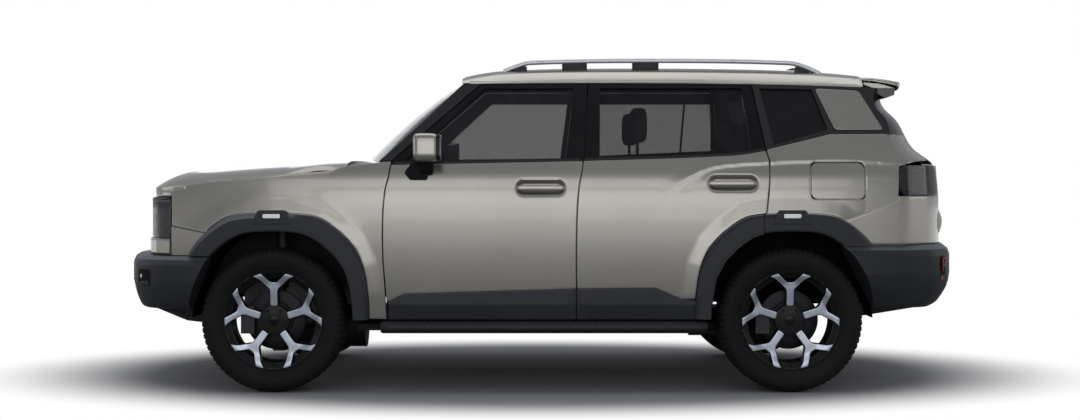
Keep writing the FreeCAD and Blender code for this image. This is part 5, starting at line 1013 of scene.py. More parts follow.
def quarter_surface(x, z):
    """Rear side skin: the painted side, or the tail's plan line where that lies further in; soft corner."""
    places, shares = np.array(tail_plan).T
    plan = base_share(x) - along(tail_centre, z / HEIGHT) + tail_plan[0][1]
    tail = HALF_BODY * np.interp(plan, shares, places) + 40.0 * ease(-0.66, -0.60, plan)
    side = painted_y(x, z)
    lower = (side + tail - np.sqrt((side - tail) ** 2 + CORNER_SOFTNESS ** 2)) / 2
    return np.column_stack((x, lower + PROUD + 2.0, z))


def quarter_outline():
    arch = arch_stretch(REAR_AXLE_X, arch_outer, lambda x, z: (x < split_x) & (z > sz(QUARTER_FOOT[1])))
    rear = curved(rear_gap, arch[0, 1], sz(0.7144))
    return np.vstack((at(quarter_top + quarter_back), arch[::-6], rear))


flap_box = at([(-0.6416, 0.5702), (-0.5388, 0.6743)])


def rounded_box(low, high, radius, count=7):
    """Closed outline of a box whose corners are true arcs."""
    turns = np.linspace(0, math.pi / 2, count)
    (left, foot), (right, top) = np.array(low) + radius, np.array(high) - radius
    middles = [(right, top), (left, top), (left, foot), (right, foot)]
    return np.vstack([np.column_stack((cx + radius * np.cos(turns + k * math.pi / 2),
                                       cz + radius * np.sin(turns + k * math.pi / 2)))
                      for k, (cx, cz) in enumerate(middles)])


def painted_sides():
    """Skins of the doors, wings and quarters, the filler flap and the panel on the rear pillar."""
    for name, outline, body in (("front_door_skin", front_door_outline(), "door_front_SIDE"),
                                ("rear_door_skin", rear_door_outline(), "door_rear_SIDE")):
        side_panel(name, outline, body, dished=True, spacing=8.8, depth=14.0)
    side_panel("fender_skin", fender_outline(), "body", spacing=10.0)
    flap = rounded_box(flap_box[0] - 4, flap_box[1] + 4, 32.0)
    for word, holes in (("left", [flap]), ("right", [])):
        points, faces = pressed(quarter_outline(), quarter_surface, (0, 1, 0), holes=holes)
        if word == "right":
            points, faces = points * (1, -1, 1), [face[::-1] for face in faces]
        put(f"quarter_skin_{word}", points, faces, "body", "body_paint", paint)
    sheet = pressed(rounded_box(*flap_box, 29.0), side_surface(), (0, 1, 0), gap=0.0, spacing=6.0, depth=4.4,
                    back=True, radius=1.6)
    put("filler_flap", *sheet, "fuel_flap_body", "body_paint", paint, replaces=["fuel_flap"])
    corners = at([(-0.5570, 0.9000), (-0.6440, 0.8935), (-0.6868, 0.7745), (-0.5908, 0.7745)])
    side_panel("pillar_panel", rounded(corners, 20.0), "body", out=5.0, gap=0.0, spacing=6.0, depth=8.0)


# Hood, roof and tail skins

def with_mirror(left):
    """Closed plan outline from its left half."""
    return np.vstack((left, left[::-1] * (1, -1)))


def hood_skin():
    """Hood seen from above: its height function inside the plan outline, sides folded down."""
    x = np.linspace(sx(0.3620), sx(0.7000), 50)
    half = side_y(x, sz(along(hood_side, base_share(x)))) - PANEL_GAP * 1.5
    plan = spread([(sx(b), a * HALF_BODY) for a, b in hood_plan], 60)
    plan = plan[plan[:, 1] > 0]
    left = np.vstack(([(x[0], half[0] - 24.0)], np.column_stack((x[3:-4], half[3:-4])), plan[::-1]))
    skin = pressed(with_mirror(left), lambda a, b: np.column_stack((a, b, hood_z(a, b) + bulge(a, b))),
                   (0, 0, 1), spacing=14.0, gap=0.5, depth=20.0)
    put("hood_skin", *skin, "hood_body", "body_paint", paint)
    low, high = sz(0.5740) + 3.0, 1096.0
    lip = [(-48.0, low), (-22.0, low), (-19.5, low + 4.0), (-21.0, (low + high) / 2), (-27.0, high - 3.0),
           (-48.0, high)]
    put("hood_lip", *span_on(nose_plan, 1, lip, -905.0, 905.0, 90), "hood_body", "body_paint", paint)


BULGE_FOOT, BULGE_TOP, BULGE_RISE = 560.0, 500.0, 5.0


def bulge(x, y):
    """Broad raised middle of the hood with a soft shoulder each side, fading towards screen and nose."""
    side = ease(BULGE_FOOT, BULGE_TOP, np.abs(y))
    return PROUD + BULGE_RISE * side * ease(sx(0.3650), sx(0.4100), x) * ease(sx(0.7500), sx(0.6800), x)


def roof_skin():
    """Roof seen from above: its height function between the side edges and a bowed front line."""
    x = np.linspace(sx(-0.6500), sx(0.1230), 60)
    half = roof_half(x) - 2.0
    front = spread([(sx(0.1250), 0.69 * HALF_BODY), (sx(0.1330), 0.36 * HALF_BODY), (sx(0.1360), 0.0)], 30)
    left = np.vstack((np.column_stack((x, half)), front))
    skin = pressed(with_mirror(left), lambda a, b: np.column_stack((a, b, roof_z(a, b) + PROUD)), (0, 0, 1),
                   spacing=17.0, gap=0.5, depth=12.0)
    put("roof_skin", *skin, "body", "body_paint", paint)


painted_sides()
hood_skin()
roof_skin()


# Arch flares: a profile carried between the opening's line and the outer line

flare_profile = [(0.0, -9.0, 0.0), (0.0, 3.0, 0.0), (0.012, 6.5, 0.0), (0.04, 8.5, 0.14), (0.21, -6.0, 0.92),
                 (0.24, -6.2, 1.0), (0.28, -5.4, 1.0), (0.38, -4.2, 1.0), (0.55, -2.6, 1.0),
                 (0.78, -1.0, 1.0), (0.92, -0.2, 1.0), (0.98, -1.0, 1.0), (1.015, -4.0, 1.0),
                 (1.03, -9.0, 1.0), (1.03, -60.0, 1.0)]


def flare_band(name, axle_x, keep, body, count=110, replaces=()):
    """Grid from the outer line to the opening: it goes out from the skin to the full width by the profile."""
    outer = spread(arch_stretch(axle_x, arch_outer, keep), count, False)
    inner = spread(arch_stretch(axle_x, arch_inner, keep), count, False)
    share, offset, full = np.array(flare_profile).T
    place = outer[:, None] + (inner - outer)[:, None] * share[None, :, None]
    skin = painted_y(outer[:, 0], outer[:, 1])[:, None]
    y = skin * (1 - full) + HALF_WIDTH * full + offset
    grid = np.stack((place[..., 0], y, place[..., 1]), axis=-1)
    put(name, grid, capped(grid), body, "dark_plastic", charcoal, both=True, replaces=replaces, flip=True)


pod_corners = np.array([(-0.262, 1.33), (0.262, 1.33), (0.262, 1.385), (0.190, 1.535), (-0.190, 1.535),
                        (-0.262, 1.385)])


POD_SLOPE = (955.0, 992.0)
POD_DRAWN = 9.0
POD_LAMP_Z = AXLE_Z + 1.452 * TYRE_RADIUS


def flare_pod(name, axle_x):
    """Raised plate on the flare's crown, drawn in at its top, with a clear lamp in a black frame."""
    ring = rounded(pod_corners * TYRE_RADIUS + (axle_x, AXLE_Z), 8.0)

    def face_of(x, z):
        return np.column_stack((x, HALF_WIDTH - 1.0 - POD_DRAWN * ease(*POD_SLOPE, z), z))

    sheet = pressed(ring, face_of, (0, 1, 0), gap=0.0, spacing=6.0, depth=26.0)
    put(name, *sheet, "body", "dark_plastic", charcoal, both=True)
    for word, half, foot, top, corner, drawn, depth, slot, material in (
            ("frame", 56.0, 15.0, 15.0, 4.0, 0.8, 5.0, "trim_black", black_gloss),
            ("lens", 46.0, 10.0, 11.0, 3.0, 0.3, 3.0, "lamp_front", pod_lens)):
        ring = rounded_box((axle_x - half, POD_LAMP_Z - foot), (axle_x + half, POD_LAMP_Z + top), corner)
        face = pressed(ring, lambda x, z: np.column_stack((x, x * 0 + HALF_WIDTH - drawn, z)), (0, 1, 0),
                       gap=0.0, spacing=5.0, radius=1.0, depth=depth)
        put(f"{name}_{word}", *face, "body", slot, material, both=True)


bumper_seam = (sz(0.4030), sz(0.4360))
flare_band("front_flare", FRONT_AXLE_X, lambda x, z: (x < FRONT_AXLE_X) | (z > bumper_seam[0]), "body",
           replaces=["arch_flares"])
flare_band("rear_flare", REAR_AXLE_X,
           lambda x, z: (x < split_x - 3) & ((x > REAR_AXLE_X) | (z > bumper_seam[1])), "body", count=70)
flare_band("door_flare", REAR_AXLE_X, lambda x, z: (x > split_x + 3) & (z > DOOR_FOOT + 2),
           "door_rear_SIDE", count=70)
flare_pod("front_pod", FRONT_AXLE_X)
flare_pod("rear_pod", REAR_AXLE_X)


# Cladding on the doors' feet: a profile from the foot to the cladding line, tapered at its ends

def cladding_strip(name, tops, x_low, x_high, body):
    """Rows along the door: foot, crease and top stand out by up to 17 mm, less towards both ends."""
    x = np.linspace(x_low, x_high, 90)
    top = np.interp(x, *np.array(sorted(map(tuple, at(tops)))).T)
    taper = ease(x_low - 30, x_low + 60.0, x) * ease(x_high + 30, x_high - 60.0, x)
    foot, crease = x * 0 + DOOR_FOOT, x * 0 + sz(0.2600)
    rows = [(foot, -14.0, 0), (foot, 6.0, 0.25), (foot + 8, 7.5, 0.35), (crease - 5, 7.0, 0.97),
            (crease, 7.4, 1.0), (crease + 6, 7.0, 0.97), (top - 8, 7.0, 0.05), (top - 2, 6.5, -0.05),
            (top + 1, 3.0, -0.05), (top + 1, -10.0, 0)]
    grid = np.stack([np.column_stack((x, side_y(x, z) + offset + share * 10.0 * taper, z))
                     for z, offset, share in rows], axis=1)
    bevel(put(name, grid, capped(grid), body, "dark_plastic", charcoal, both=True)[0], 1.0)


cladding_strip("front_door_cladding", cladding_front, sx(-0.0854) + 3, sx(0.2772) - 4, "door_front_SIDE")
cladding_strip("rear_door_cladding", cladding_rear, REAR_AXLE_X + 1.125 * TYRE_RADIUS + 40, sx(-0.0854) - 3,
               "door_rear_SIDE")


# Bumpers, each carried round its plan line and ended at the wheel's room

profile_corners = [3, 30, 30, 10, 4, 4, 3, 3]
front_profile = rounded([(-112, 452), (-40, 452), (-10, 526), (0, 590), (0, 690), (-14.6, 721.4),
                         (-40.3, 738), (-112, 739.8)], profile_corners)
rear_profile = rounded([(-112, 452), (-69.4, 474), (-14.6, 561), (0, 640), (0, 742), (-12.3, 775),
                        (-44.8, 799.8), (-112, 799.8)], profile_corners)
front_out, rear_out = knots(front_profile), knots(rear_profile)
front_skid = at([(0.802, 0.262), (0.790, 0.245), (0.702, 0.190), (0.655, 0.182), (0.655, 0.262)])
rear_skid = at([(-0.800, 0.262), (-0.779, 0.231), (-0.678, 0.206), (-0.645, 0.204), (-0.645, 0.262)])
SKID_HALF = 480.0
WHEEL_CLEARANCE = 1.5


def bumpers():
    """Shells round the nose and the tail, each with its skid plate or keel in the middle."""
    for word, plan, side, profile, skid, axle_x in (
            ("front", bumper_plan, 1, front_profile, front_skid, FRONT_AXLE_X),
            ("rear", tail_bumper_plan, -1, rear_profile, rear_skid, REAR_AXLE_X)):
        shell = wrapped(plan, side, profile, lambda z: axle_x + side * (room_edge(z) + WHEEL_CLEARANCE))
        keel = plate(rounded(skid, 8.0), edged(-SKID_HALF, SKID_HALF, 6.0))
        gather(f"{word}_bumper_shell", [shell, keel], "body", "dark_plastic", bumper_plastic,
               replaces=[f"{word}_bumper"])


def front_bumper_details():
    """Corner lamp pockets and a lower intake drawn as flat dark plates a little proud of the bumper, painted
    shade in place of their hollows; slats over the intake, and a bare plate holder.
    """
    def plates(outline, out, thick, spacing, radius):
        return patches_on(bumper_plan, 1, [outline], front_out, out, thick, spacing=spacing, radius=radius)

    turn = np.linspace(0, 2 * math.pi, 28, endpoint=False)
    around = np.column_stack((np.cos(turn), np.sin(turn)))
    lamp_place = (888, 630)
    # Painted shade: the pockets and the intake are dark plates standing out from the bumper, not hollows.
    opening = rounded([(-470, 560), (470, 560), (430, 684), (-430, 684)], 26)
    intake = patch_on(bumper_plan, 1, opening, front_out, 0.6, 5.0, spacing=12.0, radius=0.8)
    pockets = plates(box_outline((848, 579), (966, 668), 16), 0.6, 5.0, 7.0, 0.8)
    ledges = plates(rounded([(856, 583), (958, 583), (944, 604), (872, 600)], 5), 3.4, 3.0, 6.0, 1.5)
    gather("bumper_pockets", pockets + [intake], "body", "trim_black", black_and_recess_shade)
    gather("pocket_ledges", ledges, "body", "dark_plastic", charcoal)
    gather("pocket_lamp_rings", plates(around * 15.0 + lamp_place, 2.6, 2.6, 3.0, 0.8), "body", "trim_black",
           black_gloss)
    gather("pocket_lamps", plates(around * 11.0 + lamp_place, 3.4, 2.6, 3.0, 0.8), "body", "lamp_front",
           clear_lens)
    slats = [span_on(bumper_plan, 1, rounded([(-1.5, z), (1.6, z + 2), (1.6, z + 9), (-1.5, z + 11)], 1.2),
                     -430 + k * 6, 430 - k * 6) for k, z in enumerate(range(580, 672, 22))]
    gather("intake_slats", slats, "body", "dark_plastic", charcoal)
    holder = patch_on(bumper_plan, 1, box_outline((-232, 596), (232, 690), 10), front_out, 1.8, 5.0,
                      spacing=12.0, radius=2.0)
    gather("front_plate_holder", [holder], "body", "dark_plastic", charcoal)


def rear_bumper_details():
    """A red tow eye on each rear corner over a flat dark plate a little proud of the bumper, painted shade in
    place of its recess; two reflectors on each side.
    """
    def plates(outline, out, thick, spacing, radius):
        return patches_on(tail_bumper_plan, -1, [outline], rear_out, out, thick, spacing=spacing,
                          radius=radius)

    turn = np.linspace(-0.35 * math.pi, 1.35 * math.pi, 26)
    places = np.concatenate((856 + np.cos(turn) * 13, (869, 868, 866, 864)))
    outs = np.concatenate((turn * 0 + 8.0, (8, 7, 5, 2)))
    heights = np.concatenate((706 + np.sin(turn) * 22, (690, 676, 664, 656)))
    track = plan_track(tail_bumper_plan)
    eyes = [bar(on_track(track, -1, places * sign, outs, heights), oval(5.0, 5.0, 2.0, 12), (0.3, 0.9, 0.1))
            for sign in (1, -1)]
    # Painted shade: a flat dark plate stands for each tow eye's recess.
    recess_shade_plates = plates(box_outline((826, 636), (884, 738), 9), 0.6, 5.0, 6.0, 0.8)
    reflectors = plates(box_outline((843, 606), (866, 628), 4), 1.4, 3.0, 4.0, 1.0)
    reflectors += plates(box_outline((560, 590), (700, 618), 8), 1.4, 3.0, 7.0, 1.2)
    gather("tow_eye_recess_shade", recess_shade_plates, "body", "trim_black", black_and_recess_shade)
    gather("tow_eyes", eyes, "body", "tow_red", eye_red)
    gather("bumper_reflectors", reflectors, "body", "lamp_rear", lamp_red)


# Grille ribs, head lamps and tail lamps

lamp_low, lamp_high = sz(0.4520), sz(0.5740)
LAMP_START, LAMP_END = 527.0, 913.0


def grille_details():
    """Upright ribs in the openings between the bars, and a bright bar along the top and the foot."""
    pitch = (lamp_high - lamp_low - 32.0) / 5
    ribs = []
    for row in range(5):
        low = lamp_low + 24.0 + pitch * row
        high = low + pitch
        profile = [(-26, low), (-7, low), (-5, low + 3), (-5, high - 19), (-7, high - 16), (-26, high - 16)]
        ribs += [span_on(nose_plan, 1, profile, place - 3, place + 3, 3) for place in range(-480, 481, 40)]
    gather("grille_ribs", ribs, "body", "grille_black", charcoal)
    bars = [span_on(nose_plan, 1, rounded([(-4, z - 5), (2.2, z - 4), (2.2, z + 4), (-4, z + 5)], 2.0),
                    -505, 505, 60) for z in (lamp_low + 16.0, lamp_high - 16.0)]
    gather("grille_bright_bars", bars, "body", "wheel_alloy", silver)


def head_lamps():
    """Dark housing, four square lenses in two rows, light lines above and below, a flank and a cover."""
    outline = box_outline((LAMP_START, lamp_low + 1), (LAMP_END, lamp_high - 1), 12)
    frames = [box_outline((start, low), (start + 92, low + 78), 16)
              for low in (lamp_low + 24, (lamp_low + lamp_high) / 2 + 8) for start in (560, 668)]
    lines = [box_outline((LAMP_START + 12, lamp_high - 26), (LAMP_END - 30, lamp_high - 16), 4),
             box_outline((LAMP_START + 12, lamp_low + 9), (LAMP_END - 60, lamp_low + 15), 4)]
    flank = rounded([(812, lamp_high - 32), (900, lamp_high - 32), (900, lamp_low + 60),
                     (872, lamp_low + 88)], 6)
    for word, outlines, out, thick, spacing, radius, slot, material in (
            ("housings", [outline], -20.0, 46.0, 10.0, 2.0, "trim_black", black_gloss),
            ("modules", frames, -15.0, 6.0, 8.0, 3.0, "trim_black", wheel_black),
            ("projectors", [shrunk(line, 13.0) for line in frames], -12.0, 4.0, 8.0, 2.5, "lamp_front",
             clear_lens),
            ("light_lines", lines, -14.0, 6.0, 5.0, 1.5, "lamp_front", pod_lens),
            ("flanks", [flank], -10.0, 6.0, 8.0, 2.0, "lamp_front", smoke_grey),
            ("covers", [shrunk(outline, 2.0)], -0.6, 4.0, 10.0, 2.0, "lamp_front", lamp_cover)):
        parts = patches_on(nose_plan, 1, outlines, flat_out(out), 0.0, thick, spacing=spacing, radius=radius)
        gather(f"lamp_{word}", parts, "body", slot, material,
               replaces=["headlamps"] if word == "housings" else ())


tail_low, tail_high = sz(0.5777), sz(0.6700)


def tail_out(z):
    """Face of the tail lamps: drawn in evenly towards their top."""
    return np.interp(z, (tail_low, (tail_low + tail_high) / 2, tail_high), (0.0, -6.0, -12.0))


def tail_lamps():
    """Dark box with cut corners: red, grey and clear elements behind a smoked cover."""
    middle = (tail_low + tail_high) / 2
    outline = rounded([(627, tail_low + 2), (1030, tail_low + 2), (1056, tail_low + 26),
                       (1056, tail_high - 26), (1030, tail_high - 2), (627, tail_high - 2)], 8)
    ribs = [box_outline((976 + k * 11, tail_low + 36), (983 + k * 11, tail_high - 38), 2) for k in range(6)]
    white = [box_outline((944, tail_low + 24), (956, tail_high - 22), 4),
             box_outline((900, tail_high - 36), (950, tail_high - 24), 4)]
    broad = [box_outline((672, middle - 22), (806, middle + 22), 8)]
    grey = [box_outline((838, tail_low + 34), (932, tail_high - 46), 8)]
    upright = [box_outline((642, tail_low + 18), (656, tail_high - 20), 5)]
    short = [box_outline((880, tail_low + 16), (936, tail_low + 27), 4)]
    level = [box_outline((660, tail_high - 36), (820, tail_high - 22), 5),
             box_outline((660, tail_low + 18), (820, tail_low + 32), 5)]
    for word, groups, slot, material in (
            ("boxes", [([outline], -22.0, 40.0, 9.0, 2.0)], "trim_black", black_gloss),
            ("ribs", [(ribs, -12.0, 8.0, 3.5, 1.0)], "wheel_alloy", silver),
            ("clear", [(white, -10.0, 10.0, 5.0, 1.5), (broad, -14.0, 6.0, 8.0, 1.5)], "lamp_front",
             pod_lens),
            ("grey", [(grey, -14.0, 6.0, 8.0, 1.5)], "lamp_front", smoke_grey),
            ("red", [(short, -10.0, 10.0, 4.0, 1.5), (upright, -10.0, 10.0, 5.0, 1.5),
                     (level, -10.0, 10.0, 6.0, 1.5)], "lamp_rear", lamp_red),
            ("covers", [([shrunk(outline, 1.5)], 0.6, 4.0, 9.0, 2.5)], "lamp_rear", smoke_cover)):
        parts = []
        for outlines, out, thick, spacing, radius in groups:
            parts += patches_on(tail_plan, -1, outlines, tail_out, out, thick, spacing=spacing, radius=radius)
        gather(f"tail_lamp_{word}", parts, "body", slot, material,
               replaces=["tail_lamps"] if word == "boxes" else ())


# Tailgate: painted skin, spoiler, plate niche and wiper

def gate_face(out):
    """Points of the tail's skin, so far out behind it."""
    return lambda y, z: np.column_stack((tail_x(y, z) - out, y, z))


def gate_sheet(name, outline, out, depth, material, slot, **shape):
    sheet = pressed(outline, gate_face(out), (-1, 0, 0), gap=0.0, depth=depth, back=True, **shape)
    put(name, *sheet, "tailgate_body", slot, material)


FALL_AHEAD, FALL_BEHIND = 80.0, 34.0
ROOF_EDGE_Y = 746.0


def spoiler_place(a, b, y):
    """Spoiler section at a place across: pulled forward as the tail's plan line, let down as the roof is."""
    forward = WHEELBASE * (along(tail_plan, abs(y) / HALF_BODY) - tail_plan[0][1])
    fall = FALL_AHEAD + (FALL_BEHIND - FALL_AHEAD) * ease(sx(-0.6650), sx(-0.7150), a)
    return a + forward, y, b - fall * along(roof_section, min(abs(y) / ROOF_EDGE_Y, 1.0))


def spoiler():
    """Painted blade with a black lower lip, both bowed across the car."""
    top = at([(-0.6620, 0.9488), (-0.7195, 0.9392), (-0.7590, 0.9282), (-0.7606, 0.9210), (-0.7590, 0.9165),
              (-0.7190, 0.9270), (-0.6620, 0.9420)])
    low = at([(-0.6700, 0.9400), (-0.7190, 0.9290), (-0.7580, 0.9176), (-0.7586, 0.9120), (-0.7560, 0.9065),
              (-0.7250, 0.9080), (-0.6840, 0.9180), (-0.6700, 0.9250)])
    for name, section, radius, half, slot, material in (
            ("spoiler_top", top, [2, 30, 7, 3, 3, 20, 2], 690.0, "body_paint", paint),
            ("spoiler_lip", low, [4, 20, 4, 4, 5, 20, 10, 4], 686.0, "trim_black", black_and_recess_shade)):
        levels = edged(-half, half, 8.0)
        levels = levels[:4] + [(0.0, y) for y in np.linspace(20 - half, half - 20, 31)] + levels[4:]
        blade = plate(rounded(section, radius), levels, spoiler_place)
        gather(name, [blade], "tailgate_body", slot, material)


BLOCK_HALF, BLOCK_FOOT, BLOCK_FRONT = 683.0, 1640.0, -1830.0
BLOCK_SHARE, BLOCK_DROP = 0.62, 42.0


def gate_copy():
    """The gate's own solid, its spoiler block's ends drawn in so that it lies inside the bowed blade."""
    source = frame["nodes"]["tailgate"].data
    points = np.array([vertex.co for vertex in source.vertices]) / TO_METRES
    ends = (np.abs(points[:, 1]) > BLOCK_HALF) & (points[:, 2] > BLOCK_FOOT)
    points[ends, 0] = BLOCK_FRONT + (points[ends, 0] - BLOCK_FRONT) * BLOCK_SHARE
    points[ends, 2] -= BLOCK_DROP
    points, back = np.unique(np.round(points, 3), axis=0, return_inverse=True)
    back = back.ravel()
    faces = [[int(back[k]) for k in polygon.vertices] for polygon in source.polygons]
    faces = [face for face in faces if len(set(face)) > 2]
    put("gate_panel", points, faces, "tailgate_body", "body_paint", gate_tones, replaces=["tailgate"])


def corner_skins():
    """Painted corners under the tail lamps: pressed plates on the tail's plan line."""
    line, _, length = plan_track(tail_plan)
    low, arch_top, top = 806.0, 932.0, 1060.0
    arch = arch_stretch(REAR_AXLE_X, arch_outer, lambda x, z: (x < REAR_AXLE_X) & (z > low) & (z < arch_top))
    arch = arch[np.argsort(arch[:, 1])][::12] - (3.0, 0.0)
    rest = [(-1668.0, 935.0), (-1962.0, 1036.0), (-1975.0, top)]
    ring = np.vstack((arch, rest))
    ring[:, 0] = np.interp(ring[:, 0], line[:, 0], length)
    ring = np.vstack((ring, [(632.0, top), (632.0, low)]))
    parts = patches_on(tail_plan, -1, [ring], flat_out(0.0), 1.6, 6.0, spacing=11.0, radius=2.5)
    gather("corner_skins", parts, "body", "body_paint", paint)


def tailgate_details():
    """Painted skin round a niche for the plate, grip, stop lamp and rear wiper."""
    low, belt = sz(0.4530), sz(0.7085)
    skin = rounded([(-606, low), (606, low), (606, sz(0.6720)), (664, sz(0.6900)), (655, belt), (-655, belt),
                    (-664, sz(0.6900)), (-606, sz(0.6720))], 6)
    niche = rounded([(-300, 905), (300, 905), (330, 1050), (-330, 1050)], 26)
    sheet = pressed(skin, gate_face(PROUD), (-1, 0, 0), holes=[niche], gap=0.0, depth=16.0, spacing=11.0)
    put("gate_skin", *sheet, "tailgate_body", "body_paint", paint)
    gate_sheet("gate_niche", shrunk(niche, -3.0), -9.0, 4.0, charcoal, "dark_plastic", spacing=14.0,
               radius=1.0)
    gate_sheet("rear_plate", box_outline((-220, 912), (220, 1032), 8), -6.6, 2.0, bare_plate, "body_paint",
               spacing=14.0, radius=0.8)
    gate_sheet("gate_grip", box_outline((-250, 1060), (250, 1092), 14), 6.0, 14.0, black_gloss, "trim_black",
               spacing=7.0, radius=5.0)
    rear = sx(-0.7597)
    lens = plate(box_outline((-150, 1686), (150, 1698), 4), edged(rear - 1.5, rear + 8.0, 1.0), lengthwise)
    gather("high_stop_lamp", [lens], "tailgate_body", "lamp_rear", lamp_red)
    pivot_y, pivot_z, reach = 40.0, 1350.0, 330.0
    share = np.linspace(0, 1, 12)
    y, z = pivot_y - share * reach, pivot_z + 24 * share
    arm = np.column_stack((tail_x(y, z) - 6 - 6 * np.sin(share * math.pi), y, z))
    y, z = y - 60, pivot_z + 14 + 20 * share
    blade = np.column_stack((tail_x(y, z) + 4.0, y, z))
    hub = moved(ring_of([(1, 15), (8, 15), (14, 11), (17, 0), (1, 0)], 28, False), turn=90.0, axis=2)
    hub = moved(hub, shift=(tail_x(np.array(pivot_y), np.array(pivot_z)) - 2.0, pivot_y, pivot_z))
    gather("rear_wiper", [bar(arm, oval(7, 5), scale=1 - 0.4 * share), bar(blade, oval(4, 7)), hub],
           "tailgate_body", "trim_black", charcoal)


# Wheels and tyres, made about their own axle and carried to each corner

spoke_half = [(19, 80), (19, 168), (82, 228), (116, 241), (96, 251.5), (74, 259.5), (17, 206)]
spoke_outline = rounded(np.array(spoke_half + [(-x, z) for x, z in spoke_half[::-1]]),
                        [4, 14, 18, 3, 3, 3, 8, 8, 3, 3, 3, 18, 14, 4])
SPOKE_TURNS = [72.0 * k for k in range(5)]
NUT_REACH = 62.0


def nut_place(turn):
    """Where the wheel nut after a spoke lies, forward and up from the axle."""
    angle = math.radians(turn + 36.0)
    return NUT_REACH * math.sin(angle), NUT_REACH * math.cos(angle)


def dished(level):
    """Wheel face at a level, drawn in towards the hub and raised to the rim's lip at its tips."""
    def place(x, z):
        reach = np.hypot(x, z)
        return np.column_stack((x, level + 14.6 * ease(196.0, 256.0, reach)
                                - 9.0 * np.exp(-((reach - 60.0) / 90.0) ** 2), z))
    return place


def carried(name, parts, axle_x, body, slot, material, replaces=()):
    """One piece from parts made about the axle, on the left and the right wheel."""
    points, faces = join_parts(parts)
    put(name, points + (axle_x, WHEEL_Y, AXLE_Z), faces, body, slot, material, both=True, replaces=replaces)


def round_plate(radius, low, high, edge, place, steps):
    """Disc or prism about a place beside the axle, with its two edges rounded."""
    turn = np.linspace(0, 2 * math.pi, steps, endpoint=False)
    ring = np.column_stack((place[0] + np.cos(turn) * radius, place[1] + np.sin(turn) * radius))
    return plate(ring, edged(low, high, edge))


def tyre_form():
    """Turned grid: a side wall profile by radius, and a tread whose radius falls in its grooves by turn and
    place; the wall's raised panels and ridges push its places outwards."""
    steps, across, tread_half, crown_radius, blocks = 432, 45, 104.0, 390.9, 72.0
    turn = np.linspace(0, 2 * math.pi, steps, endpoint=False)[:, None]
    wall = np.array([(266, 98), (274, 106), (281, 108), (286, 112), (300, 118.5), (318, 123.6), (334, 125.4),
                     (347, 125.6), (352, 124.0), (356, 123.6), (361, 122.0), (368, 118.5), (375, 114.0),
                     (381, 109.0)])
    tread = np.linspace(tread_half, -tread_half, across)
    crown = crown_radius - 3.4 * (np.abs(tread) / tread_half) ** 3.2
    radius = np.concatenate((wall[:, 0], crown, wall[::-1, 0]))[None, :] + turn * 0
    out = np.concatenate((wall[:, 1], tread, -wall[::-1, 1]))[None, :] + turn * 0
    pitch = np.mod(turn / (2 * math.pi) * blocks, 1.0)
    lane = np.abs(out)
    cut = (np.minimum(np.abs(lane - 31.0), np.abs(lane - 72.0)) < 4.5) & (radius > 383)
    shift = np.where(out > 0, 0.0, 0.5)
    outer_phase = np.abs(np.mod(pitch + shift + lane * 0.004, 1.0) - 0.5)
    inner_phase = np.abs(np.mod(pitch + shift * 0.5 + 0.3 + lane * 0.006, 1.0) - 0.5)
    side_cut = (outer_phase < 0.12) & (lane > 76) & (radius > 352)
    mid_cut = (inner_phase < 0.08) & (lane > 36) & (lane < 68)
    depth = np.where(cut, 7.0, 0.0)
    depth = np.maximum(depth, np.where(side_cut, 6.0 * np.clip((radius - 350) / 30.0, 0, 1), 0.0))
    depth = np.maximum(depth, np.where(mid_cut & (radius > 383), 5.0, 0.0))
    panel = np.clip((23.0 - np.abs(np.mod(np.degrees(turn) + 90.0, 180.0) - 90.0)) / 1.2, 0, 1)
    raised = 1.2 * panel * ease(297.0, 301.0, radius) * ease(345.0, 341.0, radius)
    ridge = 0.9 * np.exp(-((radius - 292.0) / 1.8) ** 2) + 0.9 * np.exp(-((radius - 350.0) / 1.8) ** 2)
    out = out + np.sign(out) * np.where(lane > 104.5, raised + ridge, 0.0)
    radius = radius - depth
    grid = np.stack((np.sin(turn) * radius, np.clip(out, -126.9, 126.9), np.cos(turn) * radius), axis=-1)
    return closed_form(grid, True)


